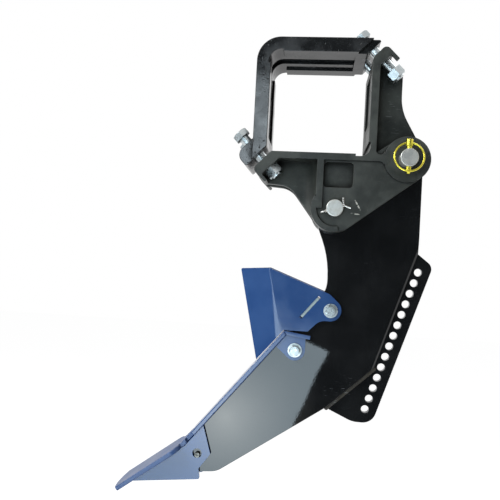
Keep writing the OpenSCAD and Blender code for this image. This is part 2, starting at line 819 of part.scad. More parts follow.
// The ring hangs from the linch pin's head and closes in front of its tip
module linch_ring() {
    lean = asin((linch_d / 2 + ring_wire_d / 2 + pin_clear) / (2 * ring_r)) + ring_ease;
    color(gold) translate([pivot.x, -half_d - linch_stand, pivot.y + linch_up - linch_head_h / 2])
        rotate([-lean, 0, 0]) translate([0, 0, -ring_r]) rotate([90, 0, 0])
            rotate_extrude() translate([ring_r, 0]) circle(d = ring_wire_d, $fn = 24);
}

// Shear pin with a head on the far side and a cotter on the near side
module shear_pin() {
    color(steel) difference() {
        union() {
            rod(shear, shear_d / 2, -web_y - shear_stand, web_y);
            rod(shear, shear_head_d / 2, web_y, web_y + shear_head_t);
        }
        at_cotter() cylinder(h = 2 * shear_d, r = cotter_d / 2 + pin_clear, center = true);
    }
}

// Frame of the cotter: +Z runs along its legs
module at_cotter() {
    translate([shear.x, -web_y - shear_stand / 2, shear.y]) rotate([0, cotter_turn, 0]) children();
}

// Cotter: one round body, an eye at one end and two legs bent apart at the other
module shear_cotter() {
    reach = shear_d / 2 + small_r;
    leg = cotter_d / 2;
    color(steel) at_cotter() {
        translate([0, 0, -reach]) cylinder(h = 2 * reach, d = cotter_d);
        translate([0, 0, -reach - leg]) rotate([0, 90, 0])
            rotate_extrude() translate([cotter_d - leg / 2, 0]) circle(d = leg, $fn = 16);
        for (turn = cotter_bends) translate([0, 0, reach - leg / 2]) rotate([0, turn, 0])
            cylinder(h = cotter_leg, d = leg);
    }
}

// Shank plate
module shank_outline() {
    crown = shear + shank_crown * heading(link_angle + 90);
    brow = shear + shank_brow * heading(180 + brow_angle);
    throat = [shear.x - throat_fore, shear.y];
    front = meet(shank_face, shin_angle, bend + blade_in * point_inside, blade_angle);
    nose = front + blade_dir * nose_len;
    polygon(rounded([
        at(meet(crown, link_angle, knee, 90), shank_crown),
        at(knee),
        at(heel),
        at(sole_top),
        at(sole_end, sole_r),
        at(meet(sole_end, nose_angle, nose, blade_angle + 90), small_r),
        at(nose, small_r),
        at(front),
        at(meet(throat, 90, shank_face, shin_angle), throat_low_r),
        at(meet(throat, 90, brow, 90 + brow_angle), throat_high_r),
        at(meet(brow, 90 + brow_angle, crown, link_angle), shank_crown)]));
}

module shank() {
    color(black) difference() {
        between(-shank_t / 2, shank_t / 2) shank_outline();
        rod(pivot, pivot_d / 2 + pin_clear, -shank_t, shank_t);
        rod(shear, shear_d / 2 + pin_clear, -shank_t, shank_t);
        rod(shin_bolt_at, screw_d / 2 + screw_clear, -shank_t, shank_t);
        rod(shield_bolt_at, screw_d / 2 + screw_clear, -shank_t, shank_t);
        rod(roll_pin_at, roll_d / 2 + roll_clear, -shank_t, shank_t);
    }
}

// Plate with the row of holes, welded to the rear edge
module hole_plate() {
    back = knee + rear_out * plate_w;
    low = heel + rear_out * plate_w;
    row = knee + rear_out * (plate_w - hole_edge) + rear_dir * hole_first;
    foot = sole_top - [0, plate_foot];
    color(black) difference() {
        between(-plate_t / 2, plate_t / 2) polygon(rounded([
            at(knee), at(heel), at(sole_top),
            at(meet(sole_top, -plate_heel_angle, foot, 0), 2 * plate_foot_r),
            at(meet(low, 90 - rear_angle, foot, 0), plate_foot_r),
            at(meet(back, 90 - rear_angle, knee, -plate_top_angle), plate_top_r)]));
        for (i = [0:hole_count - 1])
            rod(row + rear_dir * hole_pitch * i, hole_d / 2, -shank_t, shank_t);
    }
}

// Shin: wear bar down the front edge, with an ear on each side of the shank
module shin_bar() {
    end = shin_top + shin_dir * shin_len;
    color(blue) between(-side_y - ear_rim_t, side_y + ear_rim_t) polygon([
        shin_top, end, end + shin_in * shin_t,
        meet(shin_top + shin_in * shin_t, shin_angle, shin_top + rim_drop, -ear_rim_angle)]);
}

// The ear hangs from a thicker rim, mitred to the top of the bar, and rounds the shin bolt
module shin_ear(side) {
    top = shin_top + [side_fit, 0];
    rim = ear_rim_len * heading(-ear_rim_angle);
    mitre = meet(shank_face, shin_angle, top + rim_drop, -ear_rim_angle);
    tail = mitre + shin_dir * ear_tail;
    b = shin_bolt_at;
    r = ear_r_bolt;
    to_tail = tail - b;
    tangent = atan2(to_tail.y, to_tail.x) + acos(r / norm(to_tail));
    edge = meet(b + [r, 0], 90, mitre, -ear_rim_angle);
    color(blue) difference() {
        union() {
            on_side(side, side_y, side_y + ear_t) {
                translate(b) circle(r);
                polygon([mitre, tail, b + r * heading(tangent), b, b + [r, 0], edge + [0, eps]]);
            }
            on_side(side, side_y, side_y + ear_rim_t)
                polygon([top, mitre, top + rim + rim_drop, top + rim]);
        }
        rod(shin_bolt_at, screw_d / 2 + screw_clear, -far, far);
    }
}

module shin_ear_near() { shin_ear(-1); }
module shin_ear_far() { shin_ear(1); }

// Shield: two bent plates that meet at the nose, with a stop plate let in between them
module shield_outline() {
    foot = shin_top - shin_in * shield_gap;
    nose = bend_top - [wing_len, nose_drop];
    b = shield_bolt_at;
    r = shield_boss_r;
    polygon(rounded([
        at(bend_top), at(b + [-small_r, shield_back_rise], r), at(b + [r, r / 2], r), at(b + [r, -r], r),
        at(b - [r, r], shield_throat_r), at(foot + [shield_foot, 0], small_r), at(foot),
        at(meet(nose, 90 + wing_angle, foot, shin_angle)), at(nose, small_r)]));
}

// Frame of a plate's bend: Z along the bend, X behind it
module at_bend(side) {
    translate([bend_top.x, side * side_y, bend_top.y]) rotate([0, -bend_angle, 0]) children();
}

// Section of the wing, with a tongue inside the flat plate
module wing_section(side) {
    r = shield_t - 2 * flush_ease;
    ahead = heading(180 + wing_turn);
    section = [
        2 * wing_len * ahead, -eps * ahead, [eps, r],
        r / cos(wing_turn / 2) * heading(90 + wing_turn / 2),
        2 * wing_len * ahead + r * heading(90 + wing_turn)];
    polygon([for (p = section) [p.x, side * (p.y + flush_ease)]]);
}

// Cut that softens the bend, wider towards the foot
module soft_bend(side) {
    corner = shield_t / cos(wing_turn / 2);
    lean = atan((bend_cut_foot - bend_cut_top) / shield_rise);
    at_bend(side) rotate([0, 0, side * (90 + wing_turn / 2)]) translate([corner, 0, 0])
        rotate([0, lean, 0]) translate([-bend_cut_top, -far / 2, -far]) cube([far, far, 2 * far]);
}

// Outline of the stop plate's tab, or of its slot with room past the ends and a fit at the sides
module stop_outline(room, fit) {
    middle = shank_face - shin_in * (stop_t / 2 + side_fit) - shin_dir * stop_up;
    translate(middle) rotate(shin_angle) square([stop_w + 2 * room, stop_t + 2 * fit], center = true);
}

module shield_plate(side) {
    color(blue) difference() {
        union() {
            intersection() {
                on_side(side, side_y, side_y + shield_t) shield_outline();
                at_bend(side) translate([0, -far / 2, -far]) cube([far, far, 2 * far]);
            }
            intersection() {
                at_bend(side) linear_extrude(2 * far, center = true) wing_section(side);
                on_side(side, side_fit, far) shield_outline();
            }
        }
        soft_bend(side);
        rod(shield_bolt_at, screw_d / 2 + screw_clear, -far, far);
        between(-far, far) stop_outline(stop_room, side_fit);
    }
}

module shield_near() { shield_plate(-1); }
module shield_far() { shield_plate(1); }

module shield_stop() {
    reach = side_y + shield_t - stop_sink;
    color(blue) between(-reach, reach) stop_outline(0, 0);
}

// Small bolt along Y through a stack of half-width stack, nut on the near side
module small_bolt(p, stack) {
    color(zinc) translate([p.x, stack + washer_t, p.y]) rotate([90, 0, 0]) {
        cylinder(h = 2 * stack + 2 * washer_t + screw_nut_h + screw_tail, d = screw_d);
        mirror([0, 0, 1]) hex(screw_af, screw_head_h);
    }
}

module small_nut(p, stack) {
    color(zinc) translate([p.x, -stack - washer_t, p.y]) rotate([90, 0, 0]) difference() {
        union() {
            hex(screw_af, screw_nut_h - collar_h);
            cylinder(h = screw_nut_h, d = collar_d);
        }
        translate([0, 0, -eps]) cylinder(h = screw_nut_h + 2 * eps, r = screw_d / 2 + thread_clear);
    }
}

module washers(p, stack) {
    color(zinc) for (side = [-1, 1]) difference() {
        translate([p.x, side * (stack + washer_t / 2), p.y]) rotate([90, 0, 0])
            cylinder(h = washer_t, d = washer_d, center = true);
        rod(p, screw_d / 2 + screw_clear, -far, far);
    }
}

module shin_bolt() { small_bolt(shin_bolt_at, side_y + ear_t); }
module shin_nut() { small_nut(shin_bolt_at, side_y + ear_t); }
module shin_washers() { washers(shin_bolt_at, side_y + ear_t); }
module shield_bolt() { small_bolt(shield_bolt_at, side_y + shield_t); }
module shield_nut() { small_nut(shield_bolt_at, side_y + shield_t); }
module shield_washers() { washers(shield_bolt_at, side_y + shield_t); }

// Point: bent wear bar with a wide blade, on two side plates
module blade_profile() {
    low_tip = tip + blade_in * point_t;
    low_top = point_top + shin_in * point_t;
    polygon(rounded([
        at(point_top), at(bend, bend_r), at(tip), at(low_tip),
        at(meet(low_tip, blade_angle, low_top, shin_angle), bend_r - point_t), at(low_top)]));
}

// Plan of the blade from its tip: bowed at the tip, full width up to its shoulders, as wide as the
// shin bar above them and as wide as the shank at its neck
module blade_plan() {
    neck = (tip - point_top - shin_dir * neck_len) * blade_dir;
    shoulder = blade_len - shoulder_drop;
    stem = side_y + ear_rim_t;
    bow_r = (blade_w * blade_w / 4 + blade_bow * blade_bow) / (2 * blade_bow);
    side = blade_w / 2;
    intersection() {
        union() {
            polygon(rounded([[-eps, -side], [shoulder, -side, shoulder_r],
                             [shoulder, side, shoulder_r], [-eps, side]]));
            translate([shoulder - eps, -stem]) square([neck - shoulder + eps, 2 * stem]);
            translate([neck - eps, -shank_t / 2]) square([far, shank_t]);
        }
        union() {
            translate([bow_r, 0]) circle(bow_r, $fn = 128);
            translate([bow_r, -far / 2]) square([far, far]);
        }
    }
}

module point_blade() {
    color(blue) intersection() {
        between(-blade_w, blade_w) blade_profile();
        translate([tip.x, 0, tip.y]) rotate([0, -blade_angle, 0])
            linear_extrude(far, center = true) blade_plan();
    }
}

module point_side(side) {
    under = bend + blade_in * point_inside;
    front = meet(shank_face, shin_angle, under, blade_angle);
    low = sole_end - [0, cheek_drop];
    back = roll + [cheek_back, 0];
    notch = back + cheek_slant * heading(180 + cheek_slant_angle);
    color(blue) difference() {
        on_side(side, side_y, side_y + cheek_plate_t) polygon(rounded([
            at(front), at(front - shin_dir * cheek_top), at(back, small_r), at(notch),
            at(meet(low, cheek_angle, notch, 90 + cheek_angle), small_r),
            at(meet(low, cheek_angle, under, blade_angle))]));
        rod(roll, roll_hole_d / 2, -far, far);
    }
}

module point_side_near() { point_side(-1); }
module point_side_far() { point_side(1); }

module roll_pin() {
    reach = side_y + cheek_plate_t;
    color(steel) difference() {
        rod(roll_pin_at, roll_d / 2, -reach, reach);
        rod(roll_pin_at, roll_d / 2 - roll_wall, -far, far);
    }
}

upper_clamp();
lower_clamp();
clamp_bolts();
clamp_nuts();
pivot_pin();
linch_pin();
linch_ring();
shear_pin();
shear_cotter();
shank();
hole_plate();
shin_bar();
shin_ear_near();
shin_ear_far();
shin_bolt();
shin_nut();
shin_washers();
shield_near();
shield_far();
shield_stop();
shield_bolt();
shield_nut();
shield_washers();
point_blade();
point_side_near();
point_side_far();
roll_pin();
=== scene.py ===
"""Looks of the subsoiler shank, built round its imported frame."""

import logging
import math
from dataclasses import dataclass
from enum import Enum
from typing import Callable, Optional, Sequence

import bmesh
import bpy
from mathutils import Matrix, Vector


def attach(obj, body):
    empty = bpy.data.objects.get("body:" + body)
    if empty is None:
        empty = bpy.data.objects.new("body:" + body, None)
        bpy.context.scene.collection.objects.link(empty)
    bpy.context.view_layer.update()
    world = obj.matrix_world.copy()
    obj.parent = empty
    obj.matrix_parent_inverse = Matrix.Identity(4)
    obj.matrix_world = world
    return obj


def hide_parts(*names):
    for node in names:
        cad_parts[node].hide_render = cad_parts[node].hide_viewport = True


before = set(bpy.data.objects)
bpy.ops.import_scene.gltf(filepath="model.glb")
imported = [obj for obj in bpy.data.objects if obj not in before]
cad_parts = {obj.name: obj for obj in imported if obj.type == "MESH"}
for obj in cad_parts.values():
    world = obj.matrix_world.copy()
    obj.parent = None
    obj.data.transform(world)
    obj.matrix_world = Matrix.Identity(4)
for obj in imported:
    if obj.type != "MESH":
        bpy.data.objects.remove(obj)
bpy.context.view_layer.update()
LOG = logging.getLogger("subsoiler_shank")
MM = 0.001
ROUND_PROFILE = 0.5
SAME_PLANE = math.radians(0.3)
NEAR_AND_FAR = ((-1, "near"), (1, "far"))
FIXED_BODY = "assembly"

Colour = tuple[float, float, float]
Point = tuple[float, float, float]
Pair = tuple[float, float]
Sockets = dict[str, bpy.types.NodeSocket]

WHITE: Colour = (1.0, 1.0, 1.0)


class Slot(Enum):
    """Material slots of the record."""

    BLACK = "black_paint"
    BLUE = "blue_paint"
    ZINC = "zinc"
    STEEL = "bare_steel"
    YELLOW = "yellow_zinc"


class Graph:
    """A node tree that is filled a node at a time."""

    # Places of the factor, the two colours and the result among a Mix node's sockets
    MIX_INPUTS = (0, 6, 7)
    MIX_RESULT = 2

    def __init__(self, tree: bpy.types.NodeTree) -> None:
        """Wrap a node tree.

        Args:
            tree: The tree that gets the nodes.
        """
        self.tree = tree

    def add(self, kind: str, **inputs: object) -> bpy.types.Node:
        """Add a node and set or link its inputs.

        Args:
            kind: Blender's name of the node type.
            inputs: Socket names with underscores for spaces, and a value or a socket for each.

        Returns:
            The new node.
        """
        node = self.tree.nodes.new(kind)
        for name, value in inputs.items():
            self.put(node, name.replace("_", " "), value)
        return node

    def put(self, node: bpy.types.Node, name: str, value: object) -> None:
        """Set or link one input by its name.

        Args:
            node: The node.
            name: The input's name.
            value: A number, a colour, a vector or an output socket.
        """
        self.feed(node.inputs[name], value)

    def feed(self, socket: bpy.types.NodeSocket, value: object) -> None:
        """Set or link one socket.

        Args:
            socket: The input socket.
            value: A number, a colour, a vector or an output socket.
        """
        if isinstance(value, bpy.types.NodeSocket):
            self.tree.links.new(value, socket)
        elif isinstance(value, tuple) and len(value) == 3 and socket.type == "RGBA":
            socket.default_value = (*value, 1.0)
        else:
            socket.default_value = value

    def math(self, operation: str, a: object, b: object, clamp: bool = False) -> bpy.types.NodeSocket:
        """Add a Math node.

        Args:
            operation: The node's operation.
            a: First value or socket.
            b: Second value or socket.
            clamp: Whether the result is held between 0 and 1.

        Returns:
            The result's socket.
        """
        node = self.tree.nodes.new("ShaderNodeMath")
        node.operation = operation
        node.use_clamp = clamp
        for socket, value in zip(node.inputs, (a, b)):
            self.feed(socket, value)
        return node.outputs[0]

    def ramp(self, value: bpy.types.NodeSocket, low: float, high: float, to_low: float = 0.0,
             to_high: float = 1.0) -> bpy.types.NodeSocket:
        """Map a range smoothly onto another.

        Args:
            value: The socket to map.
            low: Value that becomes to_low.
            high: Value that becomes to_high.
            to_low: Result at low.
            to_high: Result at high.

        Returns:
            The mapped value's socket.
        """
        node = self.add("ShaderNodeMapRange", Value=value, From_Min=low, From_Max=high, To_Min=to_low,
                        To_Max=to_high)
        node.interpolation_type = "SMOOTHSTEP"
        return node.outputs["Result"]

    def mix(self, factor: object, a: object, b: object) -> bpy.types.NodeSocket:
        """Mix two colours.

        Args:
            factor: Share of the second colour.
            a: First colour or socket.
            b: Second colour or socket.

        Returns:
            The mixed colour's socket.
        """
        node = self.tree.nodes.new("ShaderNodeMix")
        node.data_type = "RGBA"
        for index, value in zip(self.MIX_INPUTS, (factor, a, b)):
            self.feed(node.inputs[index], value)
        return node.outputs[self.MIX_RESULT]

    def noise(self, vector: bpy.types.NodeSocket, scale: object, detail: float,
              roughness: float = 0.5) -> bpy.types.NodeSocket:
        """Add a noise texture.

        Args:
            vector: Coordinates.
            scale: Scale per metre.
            detail: Octaves.
            roughness: Share of each octave.

        Returns:
            The noise value's socket.
        """
        return self.add("ShaderNodeTexNoise", Vector=vector, Scale=scale, Detail=detail,
                        Roughness=roughness).outputs["Fac"]

    def here(self) -> bpy.types.NodeSocket:
        """Return the Object coordinates."""
        return self.add("ShaderNodeTexCoord").outputs["Object"]

    def seen(self) -> bpy.types.NodeSocket:
        """Return 1 for rays from the camera, from a reflection or through a clear body, and else 0."""
        path = self.add("ShaderNodeLightPath")
        bounced = self.math("MAXIMUM", path.outputs["Is Glossy Ray"], path.outputs["Is Transmission Ray"])
        return self.math("MAXIMUM", path.outputs["Is Camera Ray"], bounced)


class EffectGroup:
    """A surface effect that several finishes share, as a node group."""

    def __init__(self, name: str, inputs: dict[str, float], outputs: Sequence[str],
                 fill: Callable[[Graph, Sockets], Sockets]) -> None:
        """Build the group once.

        Args:
            name: The group's name.
            inputs: Names and defaults of its inputs.
            outputs: Names of its outputs.
            fill: Makes the nodes and returns a socket for each output.
        """
        self.tree = bpy.data.node_groups.new(name, "ShaderNodeTree")
        for key, value in inputs.items():
            socket = self.tree.interface.new_socket(key, in_out="INPUT", socket_type="NodeSocketFloat")
            socket.default_value = value
        for key in outputs:
            self.tree.interface.new_socket(key, in_out="OUTPUT", socket_type="NodeSocketFloat")
        given = self.tree.nodes.new("NodeGroupInput")
        result = self.tree.nodes.new("NodeGroupOutput")
        for key, socket in fill(Graph(self.tree), {k: given.outputs[k] for k in inputs}).items():
            self.tree.links.new(socket, result.inputs[key])

    def place(self, graph: Graph, **values: float) -> bpy.types.Node:
        """Place the group in a material.

        Args:
            graph: The material's graph.
            values: The inputs' values, with underscores for spaces.

        Returns:
            The group node.
        """
        node = graph.tree.nodes.new("ShaderNodeGroup")
        node.node_tree = self.tree
        for key, value in values.items():
            node.inputs[key.replace("_", " ")].default_value = value
        return node


def fill_peel(g: Graph, given: Sockets) -> Sockets:
    """Sprayed paint's orange peel and the slow waves of the metal under it.

    Args:
        g: The group's graph.
        given: The group's inputs.

    Returns:
        The height.
    """
    at = g.here()
    fine = g.math("MULTIPLY", g.noise(at, given["Peel Scale"], detail=1.5), given["Peel"])
    slow = g.math("MULTIPLY", g.noise(at, given["Wave Scale"], detail=1.0), given["Wave"])
    return {"Height": g.math("ADD", fine, slow)}


def fill_cast(g: Graph, given: Sockets) -> Sockets:
    """Sand-cast skin: grain, pits and soft dents.

    Args:
        g: The group's graph.
        given: The group's inputs.

    Returns:
        The height and a mask of the pits.
    """
    at = g.here()
    dent_depth = 2.0
    grain = g.math("MULTIPLY", g.noise(at, given["Grain Scale"], detail=4.0, roughness=0.6), given["Grain"])
    cells = g.add("ShaderNodeTexVoronoi", Vector=at, Scale=given["Pit Scale"])
    hollows = g.ramp(cells.outputs["Distance"], low=0.0, high=0.28, to_low=1.0, to_high=0.0)
    pits = g.math("MULTIPLY", hollows, g.ramp(g.noise(at, scale=30.0, detail=1.0), low=0.45, high=0.62))
    dents = g.math("MULTIPLY", g.noise(at, scale=14.0, detail=2.0), dent_depth)
    relief = g.math("MULTIPLY", g.math("SUBTRACT", dents, pits), given["Pits"])
    return {"Height": g.math("ADD", grain, relief), "Pits": pits}


def fill_blotch(g: Graph, given: Sockets) -> Sockets:
    """Cloudy patches, from large to small.

    Args:
        g: The group's graph.
        given: The group's inputs.

    Returns:
        A mask from 0 to 1.
    """
    cloud = g.noise(g.here(), given["Scale"], detail=4.0, roughness=0.55)
    return {"Mask": g.ramp(cloud, low=0.35, high=0.68)}


def fill_scuff(g: Graph, given: Sockets) -> Sockets:
    """Thin rub marks that run mostly one way, in scattered patches.

    Args:
        g: The group's graph.
        given: The group's inputs.

    Returns:
        A mask of the marks.
    """
    at = g.here()
    slant = (0.0, 0.7, 0.0)
    stretch = (1.0, 1.0, 9.0)
    contrast = 14.0
    turned = g.add("ShaderNodeMapping", Vector=at, Rotation=slant, Scale=stretch)
    lines = g.noise(turned.outputs["Vector"], given["Scale"], detail=3.0, roughness=0.6)
    patches = g.ramp(g.noise(at, scale=9.0, detail=2.0), low=0.5, high=0.7)
    level = g.math("SUBTRACT", 1.0, given["Amount"])
    marks = g.math("MULTIPLY", g.math("SUBTRACT", lines, level), contrast, clamp=True)
    return {"Mask": g.math("MULTIPLY", marks, patches)}


def fill_dust(g: Graph, given: Sockets) -> Sockets:
    """Dust on faces that look up, broken by noise.

    Args:
        g: The group's graph.
        given: The group's inputs.

    Returns:
        A mask of the dust.
    """
    normal = g.add("ShaderNodeNewGeometry").outputs["Normal"]
    up = g.add("ShaderNodeSeparateXYZ", Vector=normal).outputs["Z"]
    settled = g.ramp(up, low=0.1, high=1.0)
    broken = g.ramp(g.noise(g.here(), scale=45.0, detail=4.0, roughness=0.6), low=0.3, high=0.7)
    return {"Mask": g.math("MULTIPLY", g.math("MULTIPLY", settled, broken), given["Amount"])}


def fill_corner_shade(g: Graph, given: Sockets) -> Sockets:
    """Painted shade that gathers in inside corners, broken up by noise.

    Args:
        g: The group's graph.
        given: The group's inputs.

    Returns:
        A mask of the painted shade.
    """
    corner = g.add("ShaderNodeAmbientOcclusion", Distance=given["Reach"])
    corner.samples = 8
    corner.only_local = True
    shut = g.ramp(corner.outputs["AO"], low=0.5, high=0.92, to_low=1.0, to_high=0.0)
    broken = g.ramp(g.noise(g.here(), scale=70.0, detail=4.0, roughness=0.65), low=0.3, high=0.65, to_low=0.6)
    return {"Mask": g.math("MULTIPLY", g.math("MULTIPLY", shut, broken), given["Amount"])}


def fill_open(g: Graph, given: Sockets) -> Sockets:
    """How far a face looks out into the open, and not into the part, used to dim the reflections of shut-in
    faces as painted shade.

    Args:
        g: The group's graph.
        given: The group's inputs.

    Returns:
        A mask that is 1 on open faces and lower on shut-in ones.
    """
    around = g.add("ShaderNodeAmbientOcclusion", Distance=given["Reach"])
    around.samples = 8
    return {"Mask": g.ramp(around.outputs["AO"], low=0.5, high=0.85, to_low=0.3)}


def fill_scratch(g: Graph, given: Sockets) -> Sockets:
    """One straight scratch through the paint, broken along its length.

    Args:
        g: The group's graph.
        given: The group's inputs.

    Returns:
        A mask of the bare metal.
    """
    at = g.here()
    long, wide = given["Half Length"], given["Half Width"]
    place = g.add("ShaderNodeCombineXYZ", X=given["X"], Y=given["Y"], Z=given["Z"])
    turn = g.add("ShaderNodeCombineXYZ", Y=given["Turn"])
    reach = g.add("ShaderNodeCombineXYZ", X=long, Y=long, Z=wide)
    stroke = g.add("ShaderNodeMapping", Vector=at, Location=place.outputs["Vector"],
                   Rotation=turn.outputs["Vector"], Scale=reach.outputs["Vector"])
    stroke.vector_type = "TEXTURE"
    away = g.tree.nodes.new("ShaderNodeVectorMath")
    away.operation = "LENGTH"
    g.feed(away.inputs[0], stroke.outputs["Vector"])
    near = g.ramp(away.outputs["Value"], low=0.6, high=1.0, to_low=1.0, to_high=0.0)
    broken = g.ramp(g.noise(at, scale=260.0, detail=3.0, roughness=0.7), low=0.42, high=0.54)
    return {"Mask": g.math("MULTIPLY", near, broken)}


PEEL = EffectGroup("orange_peel", {"Peel Scale": 700.0, "Peel": 0.3, "Wave Scale": 18.0, "Wave": 1.0},
                   ["Height"], fill_peel)
CAST = EffectGroup("cast_skin", {"Grain Scale": 520.0, "Grain": 0.5, "Pit Scale": 120.0, "Pits": 0.5},
                   ["Height", "Pits"], fill_cast)
BLOTCH = EffectGroup("blotches", {"Scale": 20.0}, ["Mask"], fill_blotch)
SCUFF = EffectGroup("scuffs", {"Scale": 60.0, "Amount": 0.4}, ["Mask"], fill_scuff)
DUST = EffectGroup("dust", {"Amount": 0.3}, ["Mask"], fill_dust)
# Painted shade in inside corners, laid by ambient occlusion.
CORNER_SHADE = EffectGroup("painted_corner_shade", {"Reach": 12 * MM, "Amount": 0.6}, ["Mask"], fill_corner_shade)
# Painted shade on reflections, for faces that look into the part.
OPEN = EffectGroup("open_faces", {"Reach": 250 * MM}, ["Mask"], fill_open)
SCRATCH = EffectGroup("paint_scratch", {"X": 0.0, "Y": 0.0, "Z": 0.0, "Half Length": 12 * MM,
                                        "Half Width": 1.5 * MM, "Turn": 0.0}, ["Mask"], fill_scratch)


def new_material(name: str) -> tuple[bpy.types.Material, Graph, bpy.types.Node]:
    """Make a material with its shader.

    Args:
        name: The material's name.

    Returns:
        The material, its graph and its Principled node.
    """
    material = bpy.data.materials.new(name)
    material.use_nodes = True
    return material, Graph(material.node_tree), material.node_tree.nodes["Principled BSDF"]


@dataclass(frozen=True)
class Finish:
    """What every finish has."""

    name: str
    slot: Slot
    colour: Colour
    patch: Colour
    patch_scale: float
    rough: Pair
    bump: float
    bump_depth: float

    def start(self) -> tuple[bpy.types.Material, Graph, bpy.types.Node]:
        """Make the material, with its colour for plain displays.

        Returns:
            The material, its graph and its Principled node.
        """
        material, g, shader = new_material(self.name)
        material.diffuse_color = (*self.colour, 1.0)
        return material, g, shader

    def blotches(self, g: Graph) -> bpy.types.NodeSocket:
        """Place the finish's cloudy patches.

        Args:
            g: The material's graph.

        Returns:
            The patches' mask.
        """
        return BLOTCH.place(g, Scale=self.patch_scale).outputs["Mask"]

    def relief(self, g: Graph, shader: bpy.types.Node, height: bpy.types.NodeSocket,
               normal: Optional[bpy.types.NodeSocket] = None) -> None:
        """Give the shader a bump.

        Args:
            g: The material's graph.
            shader: The Principled node.
            height: The bump's height.
            normal: The normal that the bump starts from, if not the surface's own.
        """
        bump = g.add("ShaderNodeBump", Strength=self.bump, Distance=self.bump_depth, Height=height)
        if normal is not None:
            g.put(bump, "Normal", normal)
        g.put(shader, "Normal", bump.outputs["Normal"])

    def material(self) -> bpy.types.Material:
        """Return the finish as a material."""
        raise NotImplementedError


@dataclass(frozen=True)
class SprayedPaint(Finish):
    """Glossy enamel on rolled plate."""

    patch: Colour = (0.02, 0.02, 0.02)
    patch_scale: float = 16.0
    rough: Pair = (0.07, 0.13)
    bump: float = 0.35
    bump_depth: float = 0.1 * MM
    peel: float = 0.3
    peel_scale: float = 380.0
    wave: float = 2.5
    wave_scale: float = 16.0
    scuff: Colour = (0.2, 0.2, 0.2)
    scuff_amount: float = 0.35
    scuff_scale: float = 70.0
    scuff_share: float = 0.5
    dust: float = 0.1
    dust_colour: Colour = (0.32, 0.29, 0.24)
    # Painted shade: a near-black colour laid in inside corners.
    corner_shade_amount: float = 0.35
    corner_shade_colour: Colour = (0.004, 0.0035, 0.003)
    corner_shade_reach: float = 6 * MM
    wear_dust_shade_rough: float = 0.3

    def material(self) -> bpy.types.Material:
        """Return the finish as a material."""
        material, g, shader = self.start()
        blotch = self.blotches(g)
        marks = SCUFF.place(g, Scale=self.scuff_scale, Amount=self.scuff_amount).outputs["Mask"]
        dust = DUST.place(g, Amount=self.dust).outputs["Mask"]
        corner_shade_mask = CORNER_SHADE.place(g, Reach=self.corner_shade_reach, Amount=self.corner_shade_amount).outputs["Mask"]
        colour = g.mix(blotch, self.colour, self.patch)
        colour = g.mix(g.math("MULTIPLY", marks, self.scuff_share), colour, self.scuff)
        # Painted shade darkens the inside corners.
        colour = g.mix(corner_shade_mask, colour, self.corner_shade_colour)
        g.put(shader, "Base Color", g.mix(dust, colour, self.dust_colour))
        rough = g.ramp(blotch, 0.0, 1.0, *self.rough)
        # Roughness rises under scuffs, dust and the painted corner shade.
        wear_dust_and_shade = g.math("ADD", g.math("ADD", marks, dust), corner_shade_mask)
        g.put(shader, "Roughness", g.math("ADD", rough, g.math("MULTIPLY", wear_dust_and_shade, self.wear_dust_shade_rough)))
        peel = PEEL.place(g, Peel_Scale=self.peel_scale, Peel=self.peel, Wave_Scale=self.wave_scale,
                          Wave=self.wave)
        self.relief(g, shader, peel.outputs["Height"])
        return material


@dataclass(frozen=True)
class Scratch:
    """A scratch on a near face, turned from level about Y."""

    at: Point
    half_length: float
    turn: float


